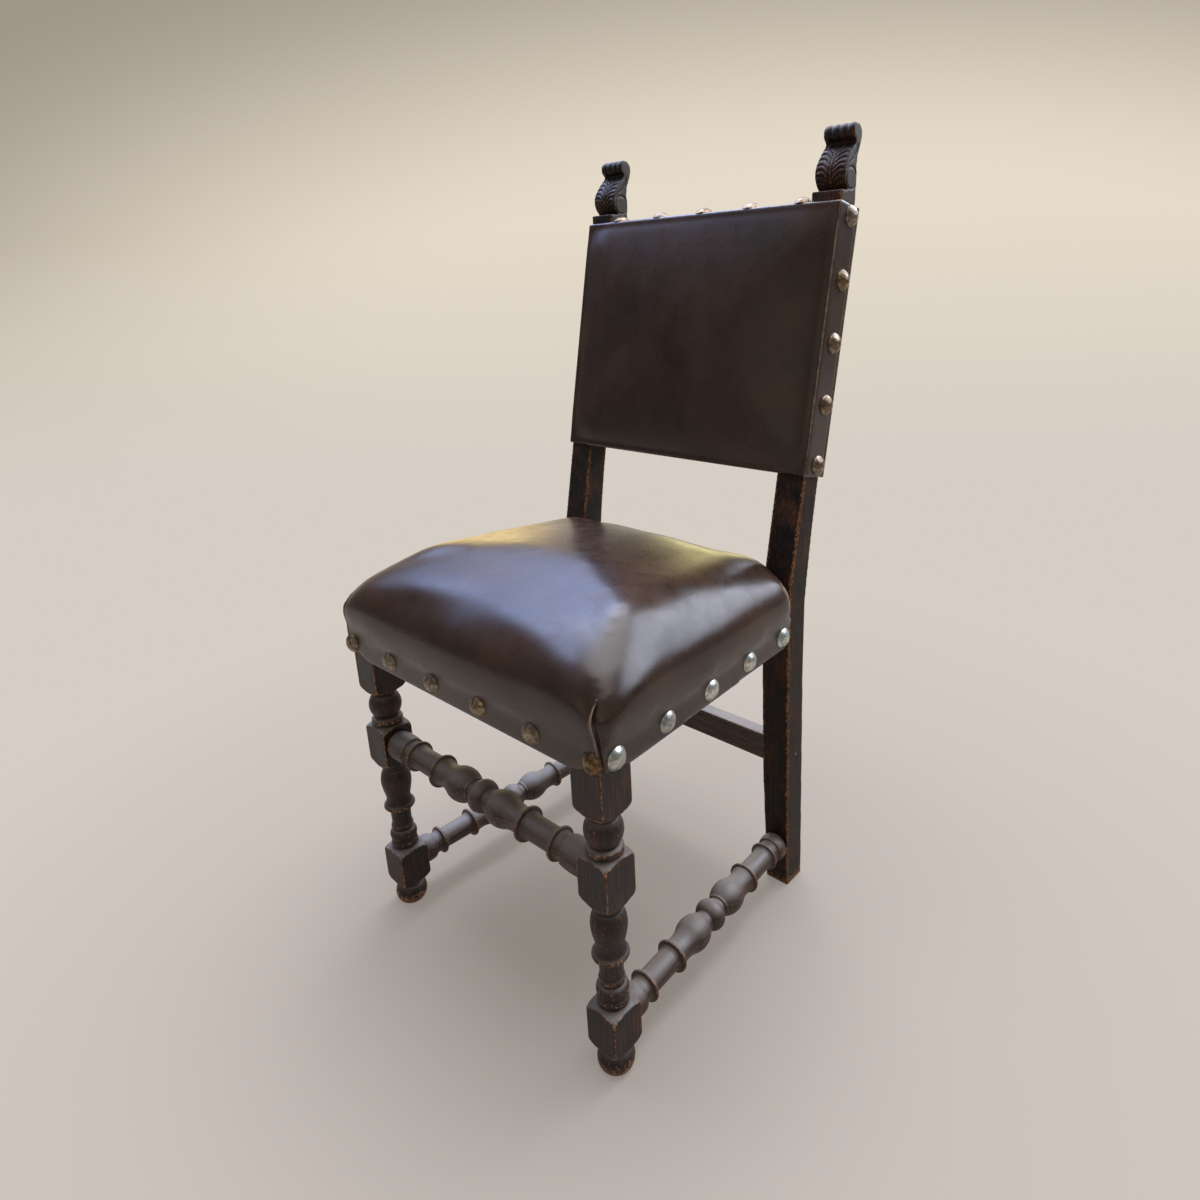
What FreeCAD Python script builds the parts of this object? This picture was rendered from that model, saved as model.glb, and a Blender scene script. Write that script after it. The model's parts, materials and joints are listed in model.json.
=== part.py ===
import FreeCAD, Part
import Sketcher
import math
import os

os.makedirs("parts", exist_ok=True)
doc = FreeCAD.newDocument("studded_chair")
dim = doc.addObject("Spreadsheet::Sheet", "dim")

# All lengths in millimetres, angles in degrees. Heights are above the floor.
sizes = {
    # front legs: square blocks with turnings between them
    "leg_spread": 425,
    "leg_block": 45,
    "foot_tall": 46,
    "lower_block_tall": 41,
    "baluster_tall": 161,
    "upper_block_tall": 44,
    "ball_tall": 70,
    # rear posts with their scroll finials
    "post_outside": 435,
    "post_width": 43,
    "post_front": 361,
    "post_depth": 40,
    "foot_kick": 11,
    "kick_height": 364,
    "foot_taper": 6,
    "knee_height": 485,
    "rake_angle": 11.75,
    "back_depth": 36.5,
    "knee_start": 451,
    "knee_end": 632,
    "knee_bow": 2,
    "plinth_height": 11,
    "scroll_depth": 50,
    "scroll_height": 81,
    # turned stretchers
    "turning_radius": 22.2,
    "end_run": 14,
    "peg_tenon_radius": 10,
    "peg_tenon_length": 24,
    "front_stretcher_rise": 24,
    "side_stretcher_rise": 21,
    "shoulder_gap": 1.2,
    # plain rear stretcher and its pegs
    "rear_stretcher_height": 220,
    "rear_stretcher_tall": 41,
    "rear_stretcher_thick": 22,
    "rear_stretcher_set": 10,
    "peg_radius": 2.5,
    "peg_grip": 8,
    # seat frame
    "rail_low": 408,
    "rail_tall": 40,
    "rail_thick": 24,
    "rear_rail_set": 5,
    "tenon_thick": 12,
    "tenon_length": 20,
    "tenon_shoulder": 5,
    "corner_reach": 50,
    # back frame, measured along the rake from the knee
    "back_low": 150,
    "back_tall": 347,
    "back_rail_tall": 45,
    "back_rail_set": 4.3,
    # seat upholstery
    "leather": 2.5,
    "cover_drop": 4,
    "band_drop": 8,
    "seat_bulge": 4,
    "swell_rise": 15,
    "front_roll_rise": 65,
    "front_roll_run": 46,
    "side_roll_rise": 95,
    "side_roll_run": 67,
    "crown_rise": 36,
    "crown_lift": 11,
    "crown_setback": 195,
    "rear_sink": 30,
    "rear_fall": 6,
    "rear_round": 130,
    "web_width": 50,
    "web_thick": 1.2,
    "web_pitch": 80,
    "web_margin": 6,
    "burlap_thick": 1,
    # back upholstery
    "back_swell": 18,
    "swell_lift": 3,
    "back_edge": 5,
    "lining_thick": 5,
    # studs
    "stud_radius": 14,
    "stud_dome": 8.5,
    "shank_radius": 1.6,
    "shank_length": 18,
    "seat_stud_rise": 18,
    "front_stud_margin": 7.5,
    "side_stud_start": 3,
    "side_stud_margin": 24,
    "back_stud_margin": 15.5,
    "back_stud_set": 24,
    "top_stud_margin": 14.5,
    "top_stud_set": 10,
    # counts
    "web_count": 4,
    "front_studs": 6,
    "row_studs": 5,
    # fits
    "fit": 0.3,
    "overrun": 5,
    "front_setback": 239,
}
for row, (name, size) in enumerate(sizes.items(), start=1):
    dim.set(f"A{row}", name)
    dim.set(f"B{row}", str(size))
    dim.setAlias(f"B{row}", name)
doc.recompute()

# Places that several pieces share, as expressions of the sheet.
lower_block_high = "(dim.foot_tall + dim.lower_block_tall)"
upper_block_low = f"({lower_block_high} + dim.baluster_tall)"
upper_block_high = f"({upper_block_low} + dim.upper_block_tall)"
top_block_low = f"({upper_block_high} + dim.ball_tall)"
rail_high = "(dim.rail_low + dim.rail_tall)"
leg_x = "dim.leg_spread / 2"
leg_half = "dim.leg_block / 2"
leg_inner = "(dim.leg_spread - dim.leg_block) / 2"
leg_outer = "(dim.leg_spread + dim.leg_block) / 2"
post_outer = "dim.post_outside / 2"
post_inner = "(dim.post_outside / 2 - dim.post_width)"
post_x = "(dim.post_outside - dim.post_width) / 2"
rail_back = "(dim.post_front + dim.rear_rail_set + dim.rail_thick)"
flare = f"(({leg_outer} - {post_outer}) / (dim.post_front - {leg_half}))"
web_top = f"({rail_high} + 2 * dim.web_thick)"
seat_band = f"({rail_high} - dim.band_drop)"
seat_widest = f"({seat_band} + dim.swell_rise)"
front_shoulder = f"({seat_widest} + dim.front_roll_rise)"
side_shoulder = f"({seat_widest} + dim.side_roll_rise)"
seat_crown = f"({front_shoulder} + dim.crown_rise)"
seat_rear = f"({seat_crown} - dim.rear_fall)"
cover_low = "dim.rail_low - dim.cover_drop"
back_high = "(dim.back_low + dim.back_tall)"
post_top = f"(dim.knee_height + {back_high} * cos(dim.rake_angle))"
cover_gap = "(dim.fit + dim.leather)"
scroll_front = f"(dim.post_front + {back_high} * sin(dim.rake_angle))"
scroll_foot = f"({post_top} + dim.plinth_height)"
half_room = f"({leg_outer} + dim.leg_block)"
back_run = "dim.back_depth / cos(dim.rake_angle)"
front_spread = f"({leg_outer} - dim.front_stud_margin)"
front_pitch = f"(2 * {front_spread} / (dim.front_studs - 1))"
side_pitch = "((dim.post_front - dim.side_stud_margin + dim.side_stud_start) / (dim.row_studs - 1))"
back_pitch = "((dim.back_tall - 2 * dim.back_stud_margin) / (dim.row_studs - 1))"
top_spread = f"({post_inner} - dim.top_stud_margin)"
top_pitch = f"(2 * {top_spread} / (dim.row_studs - 1))"
dome_square = "(dim.stud_radius^2 + dim.stud_dome^2)"
dome_sphere = f"({dome_square} / (2 * dim.stud_dome))"
dome_bow = f"({dome_sphere} - sqrt({dome_sphere}^2 - {dome_square} / 4))"

corner_share = math.sqrt(2)

# Turned profiles: (radius, height, bow of the arc to the next point).
# Radii and bows are shares of half the block, heights are shares of the turned stretch.
foot_shares = [
    (0.74, 0.00, 0.23),
    (0.80, 0.60, None),
    (0.72, 0.625, None),
    (0.72, 0.66, -0.07),
    (1.14, 0.82, 0.07),
    (corner_share, 1.00, None),
]
baluster_shares = [
    (corner_share, 0.00, 0.05),
    (1.12, 0.040, -0.04),
    (0.80, 0.066, None),
    (0.76, 0.068, 0.075),
    (0.76, 0.128, None),
    (0.70, 0.131, None),
    (0.74, 0.137, 0.13),
    (0.70, 0.232, None),
    (0.63, 0.236, None),
    (0.62, 0.254, None),
    (0.64, 0.257, 0.06),
    (0.64, 0.290, None),
    (0.61, 0.293, None),
    (0.64, 0.455, None),
    (0.86, 0.462, None),
    (0.92, 0.468, 0.05),
    (0.92, 0.505, None),
    (0.88, 0.510, -0.07),
    (0.77, 0.600, 0.01),
    (0.92, 0.700, 0.09),
    (0.74, 0.855, None),
    (0.68, 0.860, None),
    (0.68, 0.868, None),
    (0.74, 0.872, None),
    (0.74, 0.884, -0.05),
    (1.14, 0.955, 0.07),
    (corner_share, 1.00, None),
]
ball_shares = [
    (corner_share, 0.00, 0.05),
    (1.12, 0.085, -0.04),
    (0.90, 0.135, None),
    (0.86, 0.140, 0.085),
    (0.86, 0.255, None),
    (0.74, 0.262, None),
    (0.70, 0.300, None),
    (0.74, 0.306, 0.24),
    (0.74, 0.745, None),
    (0.68, 0.752, None),
    (0.68, 0.775, -0.05),
    (1.14, 0.895, 0.07),
    (corner_share, 1.00, None),
]
# One half of a stretcher from its central bead outwards: (reach, radius, bow).
bead_share = 0.075
bead_edge_share = 0.66
bead_bow_share = 0.30
stretcher_shares = [
    (0.075, 0.62, None),
    (0.112, 0.60, None),
    (0.114, 0.71, None),
    (0.130, 0.72, 0.21),
    (0.34, 0.88, -0.12),
    (0.52, 0.85, None),
    (0.523, 0.95, 0.05),
    (0.550, 0.95, None),
    (0.553, 0.81, -0.05),
    (0.605, 0.71, None),
    (0.815, 0.70, -0.04),
    (0.866, 0.81, None),
    (0.869, 0.90, 0.05),
    (0.896, 0.90, None),
    (0.899, 0.79, -0.05),
    (0.945, 0.71, -0.03),
    (0.98, 0.79, None),
    (0.983, 0.86, 0.05),
]
collar_share = 0.88
# The scroll finial from the plinth up its front, over the roll and down its back:
# (back, up, bow), shares of the scroll's depth and height.
scroll_shares = [
    (0.394, 0.00, -0.166),
    (0.204, 0.407, -0.02),
    (0.644, 0.698, None),
    (0.624, 0.728, -0.152),
    (0.674, 0.981, -0.12),
    (0.964, 0.772, -0.015),
    (0.774, 0.506, None),
    (0.740, 0.346, -0.03),
    (0.740, 0.00, None),
]
swell_bow_share = 0.25
front_roll_share = 0.236
side_roll_share = 0.20
crown_bow_share = 0.0475
rear_bow_share = 0.02
round_bow_share = 0.26


def value(expression):
    return float(dim.evalExpression(expression))


def share_of(share, length):
    return f"{share} * ({length})"


def sketch_on(body, role, name):
    sketch = body.newObject("Sketcher::SketchObject", name)
    plane = [feature for feature in body.Origin.OriginFeatures if feature.Role == role][0]
    sketch.AttachmentSupport = [(plane, "")]
    sketch.MapMode = "FlatFace"
    return sketch


def origin_axis(body, role):
    return [feature for feature in body.Origin.OriginFeatures if feature.Role == role][0]


# A closed outline of (across, up, bow) expressions. A bow is the height of the arc over its
# chord to the next point, to the right of the way there; None is a straight line.
def outline(sketch, points):
    places = []
    for across, up, bow in points:
        places.append(FreeCAD.Vector(value(across), value(up), 0))
    count = len(points)
    ends = []
    for index in range(count):
        start = places[index]
        finish = places[(index + 1) % count]
        bow = points[index][2]
        if bow is None:
            sketch.addGeometry(Part.LineSegment(start, finish))
            ends.append((1, 2))
            continue
        along = finish - start
        side = FreeCAD.Vector(along.y, -along.x, 0).normalize()
        middle = (start + finish) / 2 + side * value(bow)
        sketch.addGeometry(Part.Arc(start, middle, finish))
        begins = sketch.getPoint(index, 1).distanceToPoint(start) < along.Length / 2
        ends.append((1, 2) if begins else (2, 1))
    constraints = []
    bindings = []
    for index, (across, up, bow) in enumerate(points):
        following = (index + 1) % count
        joined = (index, ends[index][1], following, ends[following][0])
        constraints.append(Sketcher.Constraint("Coincident", *joined))
        for kind, axis, expression in (("DistanceX", -2, across), ("DistanceY", -1, up)):
            if expression == "0":
                constraints.append(Sketcher.Constraint("PointOnObject", index, ends[index][0], axis))
                continue
            bindings.append((len(constraints), expression))
            pinned = (-1, 1, index, ends[index][0])
            constraints.append(Sketcher.Constraint(kind, *pinned, value(expression)))
        if bow is not None:
            across_next, up_next, bow_next = points[following]
            chord = f"(({across_next}) - ({across}))^2 + (({up_next}) - ({up}))^2"
            radius = f"(({chord}) / 4 + ({bow})^2) / (2 * abs({bow}))"
            bindings.append((len(constraints), radius))
            constraints.append(Sketcher.Constraint("Radius", index, value(radius)))
    sketch.addConstraint(constraints)
    for place, expression in bindings:
        sketch.setExpression(f"Constraints[{place}]", expression)


def new_body(name):
    return doc.addObject("PartDesign::Body", name)


def padded_outline(name, role, points, length, centred=False):
    body = new_body(name)
    sketch = sketch_on(body, role, name + "_outline")
    outline(sketch, points)
    pad = body.newObject("PartDesign::Pad", name + "_pad")
    pad.Profile = sketch
    pad.setExpression("Length", length)
    pad.Midplane = centred
    doc.recompute()
    return body


def turned(name, points):
    body = new_body(name)
    sketch = sketch_on(body, "XY_Plane", name + "_profile")
    outline(sketch, points)
    revolved = body.newObject("PartDesign::Revolution", name + "_turning")
    revolved.Profile = sketch
    revolved.ReferenceAxis = (sketch, ["H_Axis"])
    revolved.Angle = 360
    doc.recompute()
    return body


def box(name, low, high):
    block = doc.addObject("Part::Box", name)
    for size, axis, start, stop in zip(("Length", "Width", "Height"), "xyz", low, high):
        block.setExpression(size, f"({stop}) - ({start})")
        block.setExpression(f"Placement.Base.{axis}", start)
    return block


def rod(name, radius, length, base, direction):
    cylinder = doc.addObject("Part::Cylinder", name)
    cylinder.setExpression("Radius", radius)
    cylinder.setExpression("Height", length)
    turn = FreeCAD.Rotation(FreeCAD.Vector(0, 0, 1), direction)
    cylinder.Placement = FreeCAD.Placement(base, turn)
    return cylinder


def group(name, members):
    compound = doc.addObject("Part::Compound", name)
    compound.Links = members
    return compound


def cut(name, base, tools):
    piece = doc.addObject("Part::Cut", name)
    piece.Base = base
    piece.Tool = group(name + "_cuts", tools)
    return piece


def common(name, first, second):
    piece = doc.addObject("Part::MultiCommon", name)
    piece.Shapes = [first, second]
    return piece


def mirrored(name, source):
    piece = doc.addObject("Part::Mirroring", name)
    piece.Source = source
    piece.Normal = FreeCAD.Vector(1, 0, 0)
    return piece


nodes = []


def hand_in(piece, label, frame=None):
    piece.Label = label
    if frame is not None:
        piece.Placement = frame.multiply(piece.Placement)
    nodes.append(piece)
    return piece


# The seat frame's pieces stand in a frame whose zero is between the front legs' axes.
standing = FreeCAD.Placement(FreeCAD.Vector(0, -value("dim.front_setback"), 0), FreeCAD.Rotation())
lean = FreeCAD.Rotation(FreeCAD.Vector(1, 0, 0), -value("dim.rake_angle"))
knee = FreeCAD.Vector(0, value("dim.post_front"), value("dim.knee_height"))
raked = FreeCAD.Placement(knee, lean)
leaning = standing.multiply(raked)


# A row of studs along Y with heads towards +X, or the holes for their shanks.
def stud_row(name, count, pitch, hole=False):
    shank = "dim.shank_radius + dim.fit" if hole else "dim.shank_radius"
    if hole:
        points = [
            ("0", "0", None),
            ("0", shank, None),
            ("dim.shank_length + dim.overrun", shank, None),
            ("dim.shank_length + dim.overrun", "0", None),
        ]
    else:
        points = [
            ("dim.fit", "0", None),
            ("2 * dim.shank_radius", shank, None),
            ("dim.shank_length", shank, None),
            ("dim.shank_length", "dim.stud_radius", f"-{dome_bow}"),
            ("dim.shank_length + dim.stud_dome", "0", None),
        ]
    body = turned(name, points)
    pattern = body.newObject("PartDesign::LinearPattern", name + "_row")
    pattern.Originals = [body.Group[-2]]
    pattern.Direction = (origin_axis(body, "Y_Axis"), [""])
    pattern.setExpression("Length", f"({pitch}) * ({count} - 1)")
    pattern.setExpression("Occurrences", count)
    body.Tip = pattern
    doc.recompute()
    return body


def stud_rows(name, count, pitch, place):
    studs = stud_row(name, count, pitch)
    holes = stud_row(name + "_holes", count, pitch, hole=True)
    studs.Placement = place
    holes.Placement = place
    return studs, holes


# Stud rows are placed by their first shank's tip.
front_face = f"({leg_half} + {cover_gap})"
front_turn = FreeCAD.Rotation(FreeCAD.Vector(0, 0, 1), -90)
front_start = FreeCAD.Vector(
    -value(front_spread),
    value(f"dim.shank_length - {front_face}"),
    value("dim.rail_low + dim.seat_stud_rise"),
)
studs_front, holes_front = stud_rows(
    "front_row", "dim.front_studs", front_pitch, FreeCAD.Placement(front_start, front_turn)
)

flare_angle = math.degrees(math.atan(value(flare)))
side_turn = FreeCAD.Rotation(FreeCAD.Vector(0, 0, 1), flare_angle)
side_normal = side_turn.multVec(FreeCAD.Vector(1, 0, 0))
side_at_zero = FreeCAD.Vector(value(f"{leg_outer} + {flare} * {leg_half}"), 0, front_start.z)
side_along = side_turn.multVec(FreeCAD.Vector(0, 1, 0))
side_start = side_at_zero - side_along * value("dim.side_stud_start")
side_start = side_start + side_normal * value(f"{cover_gap} - dim.shank_length")
studs_side, holes_side = stud_rows(
    "side_row", "dim.row_studs", side_pitch, FreeCAD.Placement(side_start, side_turn)
)

upright_turn = FreeCAD.Rotation(FreeCAD.Vector(1, 0, 0), 90)
back_start = FreeCAD.Vector(
    value(f"{post_outer} + {cover_gap} - dim.shank_length"),
    value("dim.back_stud_set"),
    value("dim.back_low + dim.back_stud_margin"),
)
back_row_place = FreeCAD.Placement(back_start, upright_turn)
studs_back, holes_back = stud_rows("back_row", "dim.row_studs", back_pitch, back_row_place)

top_start = FreeCAD.Vector(
    -value(top_spread),
    value("dim.top_stud_set"),
    value(f"{back_high} - dim.shank_length"),
)
upward = FreeCAD.Vector(0, 0, 1)
sideways = FreeCAD.Vector(1, 0, 0)
rearward = FreeCAD.Vector(0, 1, 0)
over_turn = FreeCAD.Rotation(upward, sideways, rearward, "XYZ")
top_row_place = FreeCAD.Placement(top_start, over_turn)
studs_top, holes_top = stud_rows("top_row", "dim.row_studs", top_pitch, top_row_place)


# Where the side stretchers' axes run, from the front leg's axis to the middle of the rear post.
side_bar_height = "(dim.foot_tall + dim.side_stretcher_rise)"
front_bar_height = f"({upper_block_low} + dim.front_stretcher_rise)"
side_from = FreeCAD.Vector(value(leg_x), 0, value(side_bar_height))
post_foot_front = f"(dim.post_front + dim.foot_kick * (1 - {side_bar_height} / dim.kick_height))"
side_to = FreeCAD.Vector(value(post_x), value(f"{post_foot_front} + dim.post_depth / 2"), side_from.z)
side_way = (side_to - side_from).normalize()
side_near = side_from + side_way * (value(leg_half) / side_way.y)
side_far = side_from + side_way * (value(post_foot_front) / side_way.y)
front_half = f"({leg_inner} - dim.fit)"
side_half = f"({(side_far - side_near).Length / 2} - dim.shoulder_gap)"
turning_reach = f"(min({front_half}; {side_half}) - dim.end_run)"
bore_radius = "dim.peg_tenon_radius + dim.fit"
bore_length = "dim.peg_tenon_length + dim.fit + dim.overrun"


# Tenons run square to the leg and post faces, whatever the flare of the seat.
tenon_near = "(dim.rail_thick - dim.tenon_thick) / 2"
tenon_far = "(dim.rail_thick + dim.tenon_thick) / 2"
tenon_floor = "dim.rail_low + dim.tenon_shoulder"
tenon_roof = f"{rail_high} - dim.tenon_shoulder"
tenon_end = f"{post_inner} + dim.tenon_length"
front_tenon = (f"{tenon_near} - {leg_half}", f"{tenon_far} - {leg_half}")
leg_tenon = (f"{leg_outer} - {tenon_far}", f"{leg_outer} - {tenon_near}")
post_tenon = (f"{post_outer} - {tenon_far}", f"{post_outer} - {tenon_near}")
rear_face = "(dim.post_front + dim.rear_rail_set)"
rear_tenon = (f"{rear_face} + {tenon_near}", f"{rear_face} + {tenon_far}")

# The rear stretcher sits behind the faces of the kicked-back posts.
bar_kick = "dim.foot_kick * (1 - dim.rear_stretcher_height / dim.kick_height)"
bar_front = f"(dim.post_front + {bar_kick} + dim.rear_stretcher_set)"
bar_low = "(dim.rear_stretcher_height - dim.rear_stretcher_tall / 2)"
bar_high = "(dim.rear_stretcher_height + dim.rear_stretcher_tall / 2)"
bar_tenon = (
    f"{bar_front} + (dim.rear_stretcher_thick - dim.tenon_thick) / 2",
    f"{bar_front} + (dim.rear_stretcher_thick + dim.tenon_thick) / 2",
)
peg_at = FreeCAD.Vector(
    value(f"{tenon_end} - dim.peg_grip"),
    value(f"{bar_front} + dim.rear_stretcher_thick / 2"),
    value("dim.rear_stretcher_height"),
)

# The back's rails lean with the posts.
back_rail_face = "(dim.web_thick + dim.burlap_thick)"
back_rail_rear = "(dim.back_depth - dim.back_rail_set)"
back_tenon = (
    f"({back_rail_face} + {back_rail_rear} - dim.tenon_thick) / 2",
    f"({back_rail_face} + {back_rail_rear} + dim.tenon_thick) / 2",
)
lower_rail_low = f"(dim.back_low + {cover_gap})"
upper_rail_low = f"({back_high} - {cover_gap} - dim.back_rail_tall)"


# A socket for a tenon, wider than it all round by the fit and open on the side the tenon enters.
def mortise(name, low, high, mouth):
    starts = [f"{place} - dim.fit" for place in low]
    stops = [f"{place} + dim.fit" for place in high]
    axis = "xyz".index(mouth[1])
    if mouth[0] == "-":
        starts[axis] = f"{low[axis]} - dim.overrun"
    else:
        stops[axis] = f"{high[axis]} + dim.overrun"
    return box(name, starts, stops)


def turn_blank(body, name, low, high, shares):
    outer = "dim.leg_block / sqrt(2) + dim.overrun"
    points = [(outer, low, None)]
    for radius, up, bow in shares:
        height = f"({low}) + {up} * (({high}) - ({low}))"
        rise = None if bow is None else share_of(bow, leg_half)
        points.append((share_of(radius, leg_half), low if up == 0 else height, rise))
    points.append((outer, high, None))
    sketch = sketch_on(body, "XZ_Plane", name + "_profile")
    outline(sketch, points)
    before = body.Shape.Volume
    groove = body.newObject("PartDesign::Groove", name)
    groove.Profile = sketch
    groove.ReferenceAxis = (sketch, ["V_Axis"])
    groove.Angle = 360
    doc.recompute()
    if body.Shape.Volume >= before:
        raise RuntimeError(name + " turned nothing away")


def front_leg():
    body = new_body("front_leg_blank")
    blank = body.newObject("PartDesign::AdditiveBox", "front_leg_square")
    blank.setExpression("Length", "dim.leg_block")
    blank.setExpression("Width", "dim.leg_block")
    blank.setExpression("Height", rail_high)
    blank.setExpression("Placement.Base.x", f"-({leg_half})")
    blank.setExpression("Placement.Base.y", f"-({leg_half})")
    doc.recompute()
    turn_blank(body, "front_leg_foot", "0", "dim.foot_tall", foot_shares)
    turn_blank(body, "front_leg_baluster", lower_block_high, upper_block_low, baluster_shares)
    turn_blank(body, "front_leg_ball", upper_block_high, top_block_low, ball_shares)
    body.setExpression("Placement.Base.x", leg_x)
    mortise_front = mortise(
        "front_rail_mortise",
        (leg_inner, front_tenon[0], tenon_floor),
        (f"{leg_inner} + dim.tenon_length", front_tenon[1], tenon_roof),
        "-x",
    )
    mortise_side = mortise(
        "side_rail_front_mortise",
        (leg_tenon[0], f"{leg_half} - dim.tenon_length", tenon_floor),
        (leg_tenon[1], leg_half, tenon_roof),
        "+y",
    )
    front_bore = rod(
        "front_stretcher_bore",
        bore_radius,
        bore_length,
        FreeCAD.Vector(value(f"{leg_inner} - dim.overrun"), 0, value(front_bar_height)),
        sideways,
    )
    bore_mouth = side_near + side_way * value("dim.overrun")
    side_bore = rod("side_stretcher_front_bore", bore_radius, bore_length, bore_mouth, -side_way)
    tools = [mortise_front, mortise_side, front_bore, side_bore, holes_front, holes_side]
    return cut("front_leg_right", body, tools)


def rear_post():
    rear_line = f"dim.post_front + (dim.knee_end - dim.knee_height) * tan(dim.rake_angle) + {back_run}"
    points = [
        ("dim.post_front + dim.foot_kick", "0", None),
        ("dim.post_front", "dim.kick_height", None),
        ("dim.post_front", "dim.knee_height", None),
        (scroll_front, post_top, None),
        (scroll_front, scroll_foot, None),
    ]
    for back, up, bow in scroll_shares:
        across = f"{scroll_front} + {back} * dim.scroll_depth"
        height = f"{scroll_foot} + {up} * dim.scroll_height"
        rise = None if bow is None else share_of(bow, "dim.scroll_depth")
        points.append((across, scroll_foot if up == 0 else height, rise))
    points += [
        (f"{scroll_front} + {back_run}", scroll_foot, None),
        (f"{scroll_front} + {back_run}", post_top, None),
        (rear_line, "dim.knee_end", "dim.knee_bow"),
        ("dim.post_front + dim.post_depth", "dim.knee_start", None),
        ("dim.post_front + dim.post_depth", "dim.kick_height", None),
        ("dim.post_front + dim.foot_kick + dim.post_depth", "0", None),
    ]
    body = padded_outline("rear_post_blank", "YZ_Plane", points, "dim.post_width")
    taper = sketch_on(body, "XZ_Plane", "rear_post_taper_outline")
    outline(taper, [("0", "0", None), ("dim.foot_taper", "0", None), ("0", bar_low, None)])
    before = body.Shape.Volume
    pocket = body.newObject("PartDesign::Pocket", "rear_post_taper")
    pocket.Profile = taper
    pocket.Type = "ThroughAll"
    doc.recompute()
    if body.Shape.Volume >= before:
        raise RuntimeError("the foot's taper cut nothing")
    body.setExpression("Placement.Base.x", post_inner)
    mortise_side = mortise(
        "side_rail_rear_mortise",
        (post_tenon[0], "dim.post_front", tenon_floor),
        (post_tenon[1], "dim.post_front + dim.tenon_length", tenon_roof),
        "-y",
    )
    mortise_rear = mortise(
        "rear_rail_mortise",
        (post_inner, rear_tenon[0], tenon_floor),
        (tenon_end, rear_tenon[1], tenon_roof),
        "-x",
    )
    mortise_bar = mortise(
        "rear_stretcher_mortise",
        (post_inner, bar_tenon[0], f"{bar_low} + dim.tenon_shoulder"),
        (tenon_end, bar_tenon[1], f"{bar_high} - dim.tenon_shoulder"),
        "-x",
    )
    peg_hole = rod(
        "peg_hole",
        "dim.peg_radius + dim.fit",
        "dim.post_width - dim.tenon_length - dim.fit + dim.overrun",
        FreeCAD.Vector(value(f"{tenon_end} + dim.fit"), peg_at.y, peg_at.z),
        sideways,
    )
    bore_mouth = side_far - side_way * value("dim.overrun")
    side_bore = rod("side_stretcher_rear_bore", bore_radius, bore_length, bore_mouth, side_way)
    leaning_cuts = [holes_back]
    for name, low in (("upper", upper_rail_low), ("lower", lower_rail_low)):
        leaning_cuts.append(mortise(
            f"{name}_back_rail_mortise",
            (post_inner, back_tenon[0], f"{low} + dim.tenon_shoulder"),
            (tenon_end, back_tenon[1], f"{low} + dim.back_rail_tall - dim.tenon_shoulder"),
            "-x",
        ))
    leaning_mortises = group("back_rail_mortises", leaning_cuts)
    leaning_mortises.Placement = raked
    tools = [mortise_side, mortise_rear, mortise_bar, peg_hole, side_bore, leaning_mortises]
    return cut("rear_post_right", body, tools)


# A stretcher lies along X from its first tenon's end; half is from its centre to its shoulder.
def stretcher(name, half):
    middle = f"(({half}) + dim.peg_tenon_length)"
    near = [
        ("0", "0", None),
        ("0", "dim.peg_tenon_radius", None),
        ("dim.peg_tenon_length", "dim.peg_tenon_radius", None),
    ]
    left = [("dim.peg_tenon_length", share_of(collar_share, "dim.turning_radius"))]
    right = [(f"2 * {middle} - dim.peg_tenon_length", share_of(collar_share, "dim.turning_radius"))]
    bows = []
    for reach, radius, bow in reversed(stretcher_shares):
        left.append((f"{middle} - {reach} * {turning_reach}", share_of(radius, "dim.turning_radius")))
        right.append((f"{middle} + {reach} * {turning_reach}", share_of(radius, "dim.turning_radius")))
        bows.append(bow)
    bead_edge = share_of(bead_edge_share, "dim.turning_radius")
    points = list(near)
    rises = [None if bow is None else share_of(-bow, "dim.turning_radius") for bow in bows]
    for index, (across, up) in enumerate(left):
        rise = rises[index] if index < len(rises) else None
        points.append((across, up, rise))
    bead_bow = share_of(-bead_bow_share, "dim.turning_radius")
    points.append((f"{middle} - {bead_share} * {turning_reach}", bead_edge, bead_bow))
    points.append((f"{middle} + {bead_share} * {turning_reach}", bead_edge, None))
    for index in range(len(right) - 1, -1, -1):
        across, up = right[index]
        points.append((across, up, rises[index - 1] if index > 0 else None))
    end = f"2 * {middle}"
    points.append((f"{end} - dim.peg_tenon_length", "dim.peg_tenon_radius", None))
    points.append((end, "dim.peg_tenon_radius", None))
    points.append((end, "0", None))
    return turned(name, points)


def front_stretcher():
    piece = stretcher("front_stretcher", front_half)
    start = FreeCAD.Vector(-value(f"{front_half} + dim.peg_tenon_length"), 0, value(front_bar_height))
    piece.Placement = FreeCAD.Placement(start, FreeCAD.Rotation())
    return piece


def side_stretcher():
    piece = stretcher("side_stretcher_right", side_half)
    start = side_near - side_way * value("dim.peg_tenon_length - dim.shoulder_gap")
    piece.Placement = FreeCAD.Placement(start, FreeCAD.Rotation(sideways, side_way))
    return piece


# A rail with a tenon at either end; the tenons' (across, up) places are given as lows and highs.
def tenoned_bar(name, low, high, tenon_low, tenon_high, holes):
    left_low = (f"{low[0]} - dim.tenon_length", *tenon_low)
    right_high = (f"{high[0]} + dim.tenon_length", *tenon_high)
    whole = doc.addObject("Part::MultiFuse", name + "_whole")
    whole.Shapes = [
        box(name + "_bar", low, high),
        box(name + "_left_tenon", left_low, (low[0], *tenon_high)),
        box(name + "_right_tenon", (high[0], *tenon_low), right_high),
    ]
    whole.Refine = True
    return cut(name, whole, holes) if holes else whole


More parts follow.
